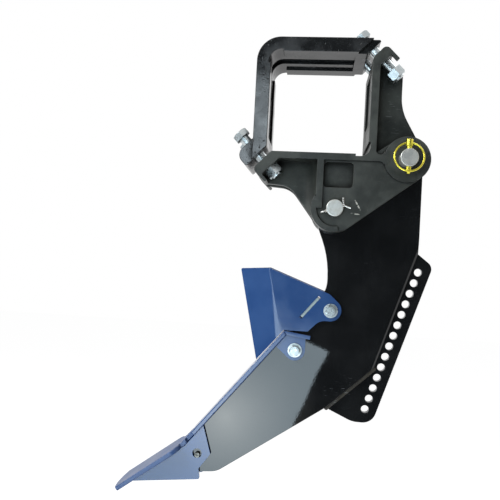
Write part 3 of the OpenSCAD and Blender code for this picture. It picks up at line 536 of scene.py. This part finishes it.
@dataclass(frozen=True)
class CastPaint(Finish):
    """Satin paint over a sand-cast skin."""

    patch: Colour = (0.03, 0.03, 0.03)
    patch_scale: float = 22.0
    rough: Pair = (0.3, 0.5)
    bump: float = 0.5
    bump_depth: float = 0.8 * MM
    grain: float = 0.5
    grain_scale: float = 480.0
    pits: float = 0.6
    pit_scale: float = 130.0
    pit_colour: Colour = (0.05, 0.04, 0.028)
    pit_share: float = 0.35
    scuff: Colour = (0.22, 0.23, 0.23)
    scuff_amount: float = 0.4
    scuff_scale: float = 50.0
    scuff_share: float = 0.6
    dust: float = 0.25
    dust_colour: Colour = (0.22, 0.19, 0.14)
    # Painted shade: a near-black colour laid in inside corners and at the feet of steps.
    corner_shade_amount: float = 0.7
    corner_shade_colour: Colour = (0.003, 0.0027, 0.0022)
    corner_shade_reach: float = 16 * MM
    dust_shade_rough: float = 0.3
    gloss: float = 0.3
    open_reach: float = 250 * MM
    edge: float = 1.5 * MM
    edge_samples: int = 6
    scratches: tuple[Scratch, ...] = ()
    bare: Colour = (0.42, 0.41, 0.36)

    def material(self) -> bpy.types.Material:
        """Return the finish as a material."""
        material, g, shader = self.start()
        # Painted shade on reflections: faces that look into the part reflect less.
        out = OPEN.place(g, Reach=self.open_reach).outputs["Mask"]
        g.put(shader, "Specular IOR Level", g.math("MULTIPLY", out, self.gloss))
        blotch = self.blotches(g)
        marks = SCUFF.place(g, Scale=self.scuff_scale, Amount=self.scuff_amount).outputs["Mask"]
        dust = DUST.place(g, Amount=self.dust).outputs["Mask"]
        corner_shade_mask = CORNER_SHADE.place(g, Reach=self.corner_shade_reach, Amount=self.corner_shade_amount).outputs["Mask"]
        skin = CAST.place(g, Grain_Scale=self.grain_scale, Grain=self.grain, Pit_Scale=self.pit_scale,
                          Pits=self.pits)
        colour = g.mix(blotch, self.colour, self.patch)
        colour = g.mix(g.math("MULTIPLY", marks, self.scuff_share), colour, self.scuff)
        colour = g.mix(g.math("MULTIPLY", skin.outputs["Pits"], self.pit_share), colour, self.pit_colour)
        # Painted shade darkens the inside corners.
        colour = g.mix(corner_shade_mask, colour, self.corner_shade_colour)
        for scratch in self.scratches:
            x, y, z = scratch.at
            stroke = SCRATCH.place(g, X=x, Y=y, Z=z, Half_Length=scratch.half_length, Turn=scratch.turn)
            colour = g.mix(stroke.outputs["Mask"], colour, self.bare)
        g.put(shader, "Base Color", g.mix(dust, colour, self.dust_colour))
        rough = g.ramp(blotch, 0.0, 1.0, *self.rough)
        # Dust and the painted corner shade raise the roughness.
        dust_and_shade = g.math("MULTIPLY", g.math("ADD", dust, corner_shade_mask), self.dust_shade_rough)
        g.put(shader, "Roughness", g.math("ADD", rough, dust_and_shade))
        edge = g.add("ShaderNodeBevel", Radius=self.edge)
        edge.samples = self.edge_samples
        self.relief(g, shader, skin.outputs["Height"], edge.outputs["Normal"])
        return material


@dataclass(frozen=True)
class Plating(Finish):
    """Zinc plate on stock fasteners, clear or yellow."""

    patch: Colour = (0.6, 0.62, 0.64)
    patch_scale: float = 90.0
    rough: Pair = (0.2, 0.36)
    bump: float = 0.15
    bump_depth: float = 0.03 * MM
    crystal_scale: float = 900.0
    scuff: Colour = (0.35, 0.34, 0.32)
    scuff_amount: float = 0.4
    scuff_scale: float = 160.0
    scuff_share: float = 0.4
    # Painted shadow: dark rings laid round the bases of nuts, washers and bolt ends.
    corner_shade_amount: float = 1.0
    corner_shade_colour: Colour = (0.02, 0.022, 0.022)
    corner_shade_reach: float = 7 * MM

    def material(self) -> bpy.types.Material:
        """Return the finish as a material."""
        material, g, shader = self.start()
        blotch = self.blotches(g)
        marks = SCUFF.place(g, Scale=self.scuff_scale, Amount=self.scuff_amount).outputs["Mask"]
        corner_shade_mask = CORNER_SHADE.place(g, Reach=self.corner_shade_reach, Amount=self.corner_shade_amount).outputs["Mask"]
        g.put(shader, "Metallic", 1.0)
        colour = g.mix(blotch, self.colour, self.patch)
        colour = g.mix(g.math("MULTIPLY", marks, self.scuff_share), colour, self.scuff)
        # Painted shadow darkens the metal in the corners round nuts and bolt ends.
        g.put(shader, "Base Color", g.mix(corner_shade_mask, colour, self.corner_shade_colour))
        g.put(shader, "Roughness", g.ramp(blotch, 0.0, 1.0, *self.rough))
        self.relief(g, shader, g.noise(g.here(), self.crystal_scale, detail=2.0))
        return material


@dataclass(frozen=True)
class TurnedSteel(Finish):
    """Bare steel with the rings of a lathe tool round one axis along Y."""

    patch: Colour = (0.5, 0.49, 0.45)
    patch_scale: float = 60.0
    rough: Pair = (0.3, 0.42)
    bump: float = 0.25
    bump_depth: float = 0.04 * MM
    centre: Pair = (0.0, 0.0)
    metallic: float = 0.75
    ring_scale: float = 220.0
    ring_wobble: float = 1.2

    def material(self) -> bpy.types.Material:
        """Return the finish as a material."""
        material, g, shader = self.start()
        x, z = self.centre
        moved = g.add("ShaderNodeMapping", Vector=g.here(), Location=(-x, 0.0, -z))
        rings = g.add("ShaderNodeTexWave", Vector=moved.outputs["Vector"], Scale=self.ring_scale,
                      Distortion=self.ring_wobble, Detail=2.0)
        rings.wave_type = "RINGS"
        rings.rings_direction = "Y"
        blotch = self.blotches(g)
        g.put(shader, "Metallic", self.metallic)
        g.put(shader, "Base Color", g.mix(blotch, self.colour, self.patch))
        g.put(shader, "Roughness", g.ramp(blotch, 0.0, 1.0, *self.rough))
        self.relief(g, shader, rings.outputs["Fac"])
        return material


PIVOT_AT: Pair = (162 * MM, -99 * MM)
SHEAR_AT: Pair = (37 * MM, -192 * MM)
PIN_SCRATCHES = (
    Scratch(at=(78 * MM, -72 * MM, -184.4 * MM), half_length=13 * MM, turn=math.radians(60)),
    Scratch(at=(74.6 * MM, -72 * MM, -200.4 * MM), half_length=10 * MM, turn=math.radians(6)),
)

LEG_PAINT = SprayedPaint("leg_black_enamel", Slot.BLACK, (0.0055, 0.006, 0.0065), patch=(0.009, 0.0095, 0.01),
                         rough=(0.006, 0.018), scuff=(0.06, 0.06, 0.06), scuff_amount=0.36, dust=0.05)
CLAMP_PAINT = CastPaint("lower_clamp_black", Slot.BLACK, (0.02, 0.022, 0.0195), patch=(0.042, 0.045, 0.039),
                        rough=(0.36, 0.5), gloss=0.36, scuff_amount=0.36, scratches=PIN_SCRATCHES)
ARM_PAINT = CastPaint("upper_clamp_black", Slot.BLACK, (0.008, 0.0085, 0.009), patch=(0.02, 0.021, 0.022),
                      rough=(0.1, 0.22), grain=0.2, gloss=0.42, scuff=(0.25, 0.26, 0.28), scuff_amount=0.42)
BLUE_PAINT = SprayedPaint("shin_blue_enamel", Slot.BLUE, (0.02, 0.055, 0.16), patch=(0.026, 0.066, 0.18),
                          rough=(0.1, 0.17), scuff=(0.2, 0.25, 0.35), scuff_amount=0.34, dust=0.3)
BLADE_PAINT = SprayedPaint("point_blue_enamel", Slot.BLUE, (0.02, 0.055, 0.16), patch=(0.026, 0.066, 0.18),
                           rough=(0.34, 0.42), scuff=(0.2, 0.25, 0.3), scuff_amount=0.4, dust=0.25)
# The stop tab is a pale grey-blue, far lighter than the blue paint.
TAB_PAINT = SprayedPaint("stop_tab_pale_blue", Slot.BLUE, (0.27, 0.33, 0.34), patch=(0.34, 0.39, 0.39),
                         rough=(0.25, 0.4), scuff=(0.12, 0.16, 0.24), scuff_amount=0.42)
WELD_PAINT = CastPaint("weld_black", Slot.BLACK, (0.02, 0.018, 0.015), patch=(0.045, 0.038, 0.028),
                       rough=(0.4, 0.6), grain=0.9, dust=0.35)
BRIGHT_ZINC = Plating("bright_zinc", Slot.ZINC, (0.52, 0.56, 0.57), patch=(0.40, 0.44, 0.45),
                      rough=(0.26, 0.38))
YELLOW_ZINC = Plating("yellow_zinc", Slot.YELLOW, (0.68, 0.58, 0.07), patch=(0.58, 0.52, 0.06),
                      rough=(0.22, 0.36))
PIVOT_STEEL = TurnedSteel("pivot_pin_steel", Slot.STEEL, (0.58, 0.58, 0.55), centre=PIVOT_AT)
SHEAR_STEEL = TurnedSteel("shear_pin_steel", Slot.STEEL, (0.66, 0.67, 0.64), centre=SHEAR_AT)
PIN_STEEL = Plating("cotter_steel", Slot.STEEL, (0.66, 0.66, 0.64), patch=(0.5, 0.49, 0.46))
COIL_STEEL = Plating("coil_pin_steel", Slot.STEEL, (0.16, 0.155, 0.145), patch=(0.07, 0.068, 0.062),
                     rough=(0.25, 0.4))


class Dresser:
    """Makes each finish's material once and gives it to objects."""

    def __init__(self) -> None:
        """Start with no materials."""
        self.made: dict[str, bpy.types.Material] = {}

    def dress(self, obj: bpy.types.Object, finish: Finish) -> None:
        """Give an object one finish.

        Args:
            obj: The object.
            finish: Its finish.
        """
        if finish.name not in self.made:
            self.made[finish.name] = finish.material()
        obj.data.materials.clear()
        obj.data.materials.append(self.made[finish.name])


DRESSER = Dresser()


def new_object(name: str, bm: bmesh.types.BMesh) -> bpy.types.Object:
    """Turn a bmesh into an object of the scene.

    Args:
        name: The object's name.
        bm: Its mesh, in the frame's metres; it is freed here.

    Returns:
        The new object.
    """
    mesh = bpy.data.meshes.new(name)
    bm.to_mesh(mesh)
    bm.free()
    obj = bpy.data.objects.new(name, mesh)
    bpy.context.scene.collection.objects.link(obj)
    return obj


def add_piece(name: str, bm: bmesh.types.BMesh, finish: Finish,
              node: Optional[str] = None) -> bpy.types.Object:
    """Turn a bmesh into a dressed piece of the body that doesn't move.

    Args:
        name: The piece's name.
        bm: Its mesh, in the frame's metres; it is freed here.
        finish: Its finish.
        node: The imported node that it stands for, if any.

    Returns:
        The new object.
    """
    obj = new_object(name, bm)
    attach(obj, FIXED_BODY)
    if node is not None:
        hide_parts(node)
    DRESSER.dress(obj, finish)
    LOG.info("piece %s", name)
    return obj


def copy_node(node: str, merge: float = 0.002 * MM) -> bmesh.types.BMesh:
    """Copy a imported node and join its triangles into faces.

    Args:
        node: The node's name.
        merge: Distance within which corners become one.

    Returns:
        The copy.
    """
    bm = bmesh.new()
    bm.from_mesh(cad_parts[node].data)
    bmesh.ops.remove_doubles(bm, verts=bm.verts, dist=merge)
    bmesh.ops.dissolve_degenerate(bm, edges=bm.edges, dist=merge)
    bmesh.ops.dissolve_limit(bm, angle_limit=SAME_PLANE, verts=bm.verts, edges=bm.edges)
    return bm


def even_normals(obj: bpy.types.Object, keep_sharp: bool = False) -> None:
    """Make an object's normals follow its larger faces.

    Args:
        obj: The object, shaded smooth.
        keep_sharp: Whether edges that are marked sharp stay so.
    """
    even = obj.modifiers.new("even", "WEIGHTED_NORMAL")
    even.keep_sharp = keep_sharp
    even.weight = 100


@dataclass
class SoftEdged:
    """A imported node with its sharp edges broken."""

    node: str
    finish: Finish
    edge: float = 0.6 * MM
    segments: int = 2
    sharp: float = math.radians(32)
    merge: float = 0.002 * MM
    tight: bool = False
    shape: Optional[Callable[[bmesh.types.BMesh], None]] = None

    def build(self) -> bpy.types.Object:
        """Copy the node, reshape it where asked and round its edges.

        Returns:
            The piece that stands for the node.
        """
        bm = copy_node(self.node, self.merge)
        if self.shape is not None:
            self.shape(bm)
        obj = add_piece(f"{self.node}_soft", bm, self.finish, node=self.node)
        bevel = obj.modifiers.new("edge", "BEVEL")
        bevel.width = self.edge
        bevel.segments = self.segments
        bevel.limit_method = "ANGLE"
        bevel.angle_limit = self.sharp
        bevel.profile = ROUND_PROFILE
        bevel.use_clamp_overlap = self.tight
        bevel.miter_outer = "MITER_ARC"
        obj.data.shade_smooth()
        even_normals(obj)
        return obj


@dataclass
class TurnedPin:
    """A pin from the lathe, with the rims of its ends rounded."""

    node: str
    finish: Finish
    rim: float
    segments: int = 4
    sharp: float = math.radians(40)
    touch: float = 0.01 * MM

    def build(self) -> bpy.types.Object:
        """Copy the pin and round the rims.

        Returns:
            The piece that stands for the node.
        """
        bm = copy_node(self.node)
        ends = (min(v.co.y for v in bm.verts), max(v.co.y for v in bm.verts))
        rims = [e for e in bm.edges for end in ends if all(abs(v.co.y - end) < self.touch for v in e.verts)]
        bmesh.ops.bevel(bm, geom=rims, offset=self.rim, offset_type="OFFSET", affect="EDGES",
                        segments=self.segments, profile=ROUND_PROFILE, material=-1, clamp_overlap=True)
        obj = add_piece(f"{self.node}_turned", bm, self.finish, node=self.node)
        obj.data.shade_smooth()
        obj.data.set_sharp_from_angle(angle=self.sharp)
        even_normals(obj, keep_sharp=True)
        return obj


@dataclass
class CadPiece:
    """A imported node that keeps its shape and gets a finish."""

    node: str
    finish: Finish

    def build(self) -> bpy.types.Object:
        """Dress the node.

        Returns:
            The node's object.
        """
        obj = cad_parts[self.node]
        DRESSER.dress(obj, self.finish)
        LOG.info("node %s", self.node)
        return obj


@dataclass
class ToolbarClamp:
    """The split casting that holds the toolbar, with its four long bolts."""

    opening: float = 184 * MM
    front_bolt_out: float = 14 * MM
    rear_bolt_out: float = 9 * MM
    bolt_y: float = 50 * MM
    bolt_r: float = 9.5 * MM
    bolt_len: float = 96.5 * MM
    bolt_turn: float = math.radians(135)
    front_head: float = -51.5 * MM
    rear_head: float = -31.5 * MM
    thread_len: float = 52 * MM
    thread_h: float = 0.45 * MM
    thread_sink: float = 0.05 * MM
    thread_runout: float = 1.2
    thread_steps: int = 28
    pitch: float = 2.54 * MM
    crest: Pair = (0.42, 0.58)

    def build(self) -> None:
        """Build the castings, the bolts and their threads."""
        SoftEdged("upper_clamp", ARM_PAINT).build()
        SoftEdged("lower_clamp", CLAMP_PAINT, merge=0.15 * MM, tight=True).build()
        for node in ("clamp_bolts", "clamp_nuts"):
            SoftEdged(node, BRIGHT_ZINC, edge=0.3 * MM, merge=0.05 * MM, tight=True).build()
        for end, name in ((-1, "front"), (1, "rear")):
            for side, side_name in NEAR_AND_FAR:
                self.thread(f"{name}_{side_name}_thread", end, side * self.bolt_y)

    def thread(self, name: str, end: int, y: float) -> bpy.types.Object:
        """Cut the rolled thread of one bolt.

        Args:
            name: The piece's name.
            end: -1 for a front bolt, 1 for a rear one.
            y: The bolt's place along the toolbar.

        Returns:
            The thread.
        """
        head = self.front_head if end < 0 else self.rear_head
        out = self.front_bolt_out if end < 0 else self.rear_bolt_out
        turns = int(self.thread_len / self.pitch)
        start = head + self.bolt_len - (turns + self.thread_runout) * self.pitch
        root = self.bolt_r - self.thread_sink
        top = root + self.thread_h
        bm = bmesh.new()
        spots = ((root, 0.0), (top, self.crest[0]), (top, self.crest[1]), (root, 1.0))
        verts = [bm.verts.new((x, 0.0, start + z * self.pitch)) for x, z in spots]
        edges = [bm.edges.new(pair) for pair in zip(verts, verts[1:])]
        bmesh.ops.spin(bm, geom=verts + edges, cent=(0, 0, 0), axis=(0, 0, 1), angle=math.tau * turns,
                       dvec=(0, 0, self.pitch / self.thread_steps), steps=self.thread_steps * turns,
                       use_duplicate=False)
        bmesh.ops.recalc_face_normals(bm, faces=bm.faces)
        middle = (self.opening / 2 * math.sqrt(2) + out) * end / math.sqrt(2)
        place = Matrix.Translation((middle, y, middle)) @ Matrix.Rotation(self.bolt_turn, 4, "Y")
        bmesh.ops.transform(bm, matrix=place, verts=bm.verts)
        obj = add_piece(name, bm, BRIGHT_ZINC)
        obj.data.shade_smooth()
        return obj


@dataclass
class HingePins:
    """The pivot pin with its linch pin and ring, and the shear pin with its cotter."""

    pivot_rim: float = 1.4 * MM
    shear_rim: float = 1.2 * MM

    def build(self) -> None:
        """Build the pins."""
        TurnedPin("pivot_pin", PIVOT_STEEL, self.pivot_rim).build()
        TurnedPin("shear_pin", SHEAR_STEEL, self.shear_rim).build()
        SoftEdged("linch_pin", YELLOW_ZINC).build()
        CadPiece("linch_ring", YELLOW_ZINC).build()
        CadPiece("shear_cotter", PIN_STEEL).build()


@dataclass
class Leg:
    """The curved shank and the plate with the row of holes behind it."""

    knee: Pair = (199 * MM, -266 * MM)
    rear_len: float = 230 * MM
    rear_angle: float = math.radians(18)
    heel_len: float = 122 * MM
    heel_angle: float = math.radians(43)
    plate_half: float = 6 * MM
    leg_half: float = 16 * MM
    bevel: Pair = (8 * MM, 4 * MM)
    touch: float = 0.001 * MM
    ripple: float = 4.2 * MM
    first_ripple: float = 0.6
    bead_r: float = 6 * MM
    bead_out: float = 3 * MM
    bead_flat: Pair = (0.78, 0.82)
    sways: tuple[Pair, ...] = ((0.35 * MM, 2.3), (0.2 * MM, 5.1))
    swell: float = 60.0

    def build(self) -> None:
        """Build the leg and the welds between its two plates."""
        SoftEdged("shank", LEG_PAINT, segments=3, shape=self.rear_bevel).build()
        SoftEdged("hole_plate", LEG_PAINT).build()
        for side, name in NEAR_AND_FAR:
            self.weld(f"plate_weld_{name}", side)

    def rear_bevel(self, bm: bmesh.types.BMesh) -> None:
        """Cut the bevel along both corners of the leg's rear edge.

        Args:
            bm: The leg's mesh.
        """
        outward = Vector((math.cos(self.rear_angle), 0.0, -math.sin(self.rear_angle)))
        width, depth = self.bevel
        for side, _ in NEAR_AND_FAR:
            across = Vector((0.0, side, 0.0))
            line = Vector((self.knee[0], side * self.leg_half, self.knee[1])) - outward * width
            cut = bmesh.ops.bisect_plane(bm, geom=[*bm.verts, *bm.edges, *bm.faces], dist=self.touch,
                                         plane_co=line, plane_no=outward * depth + across * width,
                                         clear_outer=True)
            rim = [part for part in cut["geom_cut"] if isinstance(part, bmesh.types.BMEdge)]
            bmesh.ops.contextual_create(bm, geom=rim)
        bmesh.ops.recalc_face_normals(bm, faces=bm.faces)

    def weld(self, name: str, side: int) -> bpy.types.Object:
        """Lay the overlapping ripples of a weld along the heel.

        Args:
            name: The piece's name.
            side: -1 for the near side, 1 for the far side.

        Returns:
            The weld.
        """
        knee = Vector((self.knee[0], side * self.plate_half, self.knee[1]))
        down = Vector((-math.sin(self.rear_angle), 0.0, -math.cos(self.rear_angle)))
        along = Vector((-math.cos(self.heel_angle), 0.0, -math.sin(self.heel_angle)))
        start = knee + down * self.rear_len + Vector((-along.z, 0.0, along.x)) * self.bead_out
        turn = along.to_track_quat("X", "Y").to_matrix().to_4x4()
        bm = bmesh.new()
        for step in range(int(self.heel_len / self.ripple)):
            spot = start + along * (step + self.first_ripple) * self.ripple
            sway = sum(reach * math.sin(step * pace) for reach, pace in self.sways)
            shape = Matrix.Diagonal((*self.bead_flat, 1.0 + self.swell * sway, 1.0))
            place = Matrix.Translation(spot + Vector((sway, 0.0, sway))) @ turn @ shape
            bmesh.ops.create_icosphere(bm, subdivisions=2, radius=self.bead_r, matrix=place)
        obj = add_piece(name, bm, WELD_PAINT)
        obj.data.shade_smooth()
        return obj


@dataclass
class WearParts:
    """The shin, the shield and the point, with their fasteners."""

    bars: Sequence[tuple[str, Finish]] = (("shin_bar", BLUE_PAINT), ("point_blade", BLADE_PAINT))
    plates: Sequence[str] = ("shin_ear_near", "shin_ear_far", "point_side_near", "point_side_far")
    folded: Sequence[str] = ("shield_near", "shield_far")
    fasteners: Sequence[str] = ("shin_bolt", "shin_nut", "shin_washers",
                                "shield_bolt", "shield_nut", "shield_washers")
    roll_pin_at: Pair = (-200.2 * MM, -675.5 * MM)
    roll_half: float = 22.2 * MM
    coil: Pair = (1.2 * MM, 2.1 * MM)
    coil_steps: int = 32

    def build(self) -> None:
        """Build the wear parts."""
        for node, finish in self.bars:
            SoftEdged(node, finish, edge=2.0 * MM, segments=3).build()
        for node in self.plates:
            SoftEdged(node, BLUE_PAINT, edge=0.3 * MM).build()
        for node in self.folded:
            SoftEdged(node, BLUE_PAINT, edge=0.25 * MM, tight=True).build()
        SoftEdged("shield_stop", TAB_PAINT, edge=0.4 * MM).build()
        for node in self.fasteners:
            SoftEdged(node, BRIGHT_ZINC, edge=0.35 * MM, merge=0.15 * MM, tight=True).build()
        SoftEdged("roll_pin", COIL_STEEL, edge=0.3 * MM).build()
        self.inner_coil()

    def inner_coil(self) -> bpy.types.Object:
        """Turn the inner wrap of the coiled roll pin.

        Returns:
            The wrap.
        """
        x, z = self.roll_pin_at
        inner, outer = self.coil
        section = ((inner, -self.roll_half), (outer, -self.roll_half), (outer, self.roll_half),
                   (inner, self.roll_half))
        bm = bmesh.new()
        verts = [bm.verts.new((x + r, y, z)) for r, y in section]
        edges = [bm.edges.new((a, b)) for a, b in zip(verts, verts[1:] + verts[:1])]
        bmesh.ops.spin(bm, geom=verts + edges, cent=(x, 0.0, z), axis=(0, 1, 0), angle=math.tau,
                       steps=self.coil_steps, use_merge=True, use_duplicate=False)
        bmesh.ops.recalc_face_normals(bm, faces=bm.faces)
        return add_piece("roll_pin_inner_coil", bm, COIL_STEEL)


@dataclass(frozen=True)
class Lamp:
    """A rectangular lamp that faces a point, rolled about the line that it shines along."""

    name: str
    at: Point
    to: Point
    size: Pair
    power: float
    colour: Colour
    roll: float = 0.0

    def hang(self) -> bpy.types.Object:
        """Hang the lamp.

        Returns:
            The lamp.
        """
        data = bpy.data.lights.new(self.name, "AREA")
        data.shape = "RECTANGLE"
        data.size, data.size_y = self.size
        data.energy = self.power
        data.color = self.colour
        obj = bpy.data.objects.new(self.name, data)
        obj.location = self.at
        aim = (Vector(self.to) - Vector(self.at)).to_track_quat("-Z", "Y").to_matrix()
        obj.rotation_euler = (aim @ Matrix.Rotation(self.roll, 3, "Z")).to_euler()
        bpy.context.scene.collection.objects.link(obj)
        return obj


LAMPS = (
    Lamp("low_card", at=(-0.9325, -2.55, -1.178), to=(-0.9325, 0.0, -1.178), size=(1.7, 1.4), power=40.0,
         colour=(0.72, 0.89, 1.0), roll=math.radians(-22)),
    Lamp("window", at=(-0.38, -2.5, 0.42), to=(0.0, 0.0, 0.0), size=(0.4, 0.55), power=6.0,
         colour=(0.8, 0.92, 1.0)),
    Lamp("high_left", at=(-2.4, -1.3, 1.2), to=(0.0, 0.0, -0.2), size=(1.4, 1.4), power=95.0,
         colour=(0.95, 0.98, 1.0)),
    Lamp("high_back", at=(1.2, 2.0, 1.8), to=(0.0, 0.0, -0.2), size=(2.0, 2.0), power=40.0, colour=WHITE),
)


@dataclass
class Studio:
    """Floor, backdrop, lamps and camera."""

    soft_level: float = 0.36
    floor_z: float = -2.1
    floor_size: float = 14.0
    floor_grey: Colour = (0.8, 0.8, 0.8)
    floor_rough: float = 0.9
    floor_lift: float = 0.7
    flag_r: float = 3.2
    flag_left: float = math.radians(58)
    flag_right: float = math.radians(40)
    flag_z: Pair = (-2.1, 1.5)
    flag_steps: int = 24
    flag_black: Colour = (0.03, 0.03, 0.03)
    glow_at: Point = (-0.48, -2.5, -1.27)
    glow_r: float = 0.6
    glow_sides: int = 48
    glow_level: float = 5.0
    glow_tint: Colour = (1.0, 1.0, 0.94)
    lens: float = 43.92
    sensor: float = 36.0
    camera_at: Point = (0.0046, -1.186, -0.282)
    camera_right: Point = (0.9932, 0.1044, 0.0521)
    camera_up: Point = (-0.0512, -0.0114, 0.9986)
    camera_back: Point = (0.1048, -0.9945, -0.0060)

    def build(self) -> None:
        """Set the whole scene round the part."""
        bpy.context.scene.view_settings.view_transform = "Standard"
        self.world()
        self.floor()
        self.flag()
        self.glow()
        for lamp in LAMPS:
            lamp.hang()
        self.camera()

    def world(self) -> None:
        """A white surround that lights the part softly."""
        world = bpy.data.worlds.new("surround")
        bpy.context.scene.world = world
        world.use_nodes = True
        g = Graph(world.node_tree)
        back = world.node_tree.nodes["Background"]
        g.put(back, "Color", WHITE)
        g.put(back, "Strength", g.ramp(g.seen(), 0.0, 1.0, to_low=self.soft_level))

    def floor(self) -> None:
        """A wide white floor."""
        bm = bmesh.new()
        bmesh.ops.create_grid(bm, x_segments=1, y_segments=1, size=self.floor_size)
        bmesh.ops.translate(bm, vec=(0, 0, self.floor_z), verts=bm.verts)
        obj = new_object("floor", bm)
        material, g, shader = new_material("floor_white")
        g.put(shader, "Base Color", self.floor_grey)
        g.put(shader, "Roughness", self.floor_rough)
        g.put(shader, "Specular IOR Level", 0.0)
        g.put(shader, "Emission Color", WHITE)
        g.put(shader, "Emission Strength", g.math("MULTIPLY", g.seen(), self.floor_lift))
        obj.data.materials.append(material)

    def reflected_only(self, name: str, bm: bmesh.types.BMesh, material: bpy.types.Material) -> None:
        """Stage a piece that only reflections see.

        Args:
            name: The piece's name.
            bm: Its mesh; it is freed here.
            material: Its material.
        """
        obj = new_object(name, bm)
        obj.visible_camera = False
        obj.visible_diffuse = False
        obj.visible_shadow = False
        obj.data.materials.append(material)

    def flag(self) -> None:
        """A dark flag behind the camera, which only reflections see: a painted dark reflection on the faces
        that look towards the camera.
        """
        bm = bmesh.new()
        turn = Matrix.Rotation(-self.flag_left, 4, "Z")
        verts = [bm.verts.new(turn @ Vector((0.0, -self.flag_r, z))) for z in self.flag_z]
        edge = bm.edges.new(verts)
        bmesh.ops.spin(bm, geom=[*verts, edge], cent=(0, 0, 0), axis=(0, 0, 1),
                       angle=self.flag_left + self.flag_right, steps=self.flag_steps, use_duplicate=False)
        material, g, shader = new_material("flag_black")
        g.put(shader, "Base Color", self.flag_black)
        g.put(shader, "Roughness", 1.0)
        self.reflected_only("flag", bm, material)

    def glow(self) -> None:
        """A soft bright patch in front of the low card, which only reflections see: a glowing painted
        reflection that gives no diffuse light.
        """
        middle = Vector(self.glow_at)
        bm = bmesh.new()
        bmesh.ops.create_circle(bm, cap_ends=True, segments=self.glow_sides, radius=self.glow_r)
        upright = Matrix.Translation(middle) @ Matrix.Rotation(math.radians(90), 4, "X")
        bmesh.ops.transform(bm, matrix=upright, verts=bm.verts)
        material, g, _ = new_material("glow_soft")
        moved = g.add("ShaderNodeMapping", Vector=g.here(), Location=tuple(-middle / self.glow_r),
                      Scale=(1.0 / self.glow_r,) * 3)
        fall = g.add("ShaderNodeTexGradient", Vector=moved.outputs["Vector"])
        fall.gradient_type = "QUADRATIC_SPHERE"
        light = g.add("ShaderNodeEmission", Color=self.glow_tint,
                      Strength=g.math("MULTIPLY", fall.outputs["Fac"], self.glow_level))
        both = g.add("ShaderNodeAddShader")
        g.feed(both.inputs[0], light.outputs[0])
        g.feed(both.inputs[1], g.add("ShaderNodeBsdfTransparent").outputs[0])
        g.put(material.node_tree.nodes["Material Output"], "Surface", both.outputs[0])
        self.reflected_only("glow", bm, material)

    def camera(self) -> None:
        """The photograph's camera."""
        data = bpy.data.cameras.new("camera")
        data.lens = self.lens
        data.sensor_width = self.sensor
        obj = bpy.data.objects.new("camera", data)
        turn = Matrix((self.camera_right, self.camera_up, self.camera_back)).transposed().to_4x4()
        obj.matrix_world = Matrix.Translation(self.camera_at) @ turn
        bpy.context.scene.collection.objects.link(obj)
        bpy.context.scene.camera = obj


def main() -> None:
    """Build the sub-assemblies in order, then the studio."""
    logging.basicConfig(level=logging.INFO)
    ToolbarClamp().build()
    HingePins().build()
    Leg().build()
    WearParts().build()
    Studio().build()


if __name__ == "__main__":
    main()
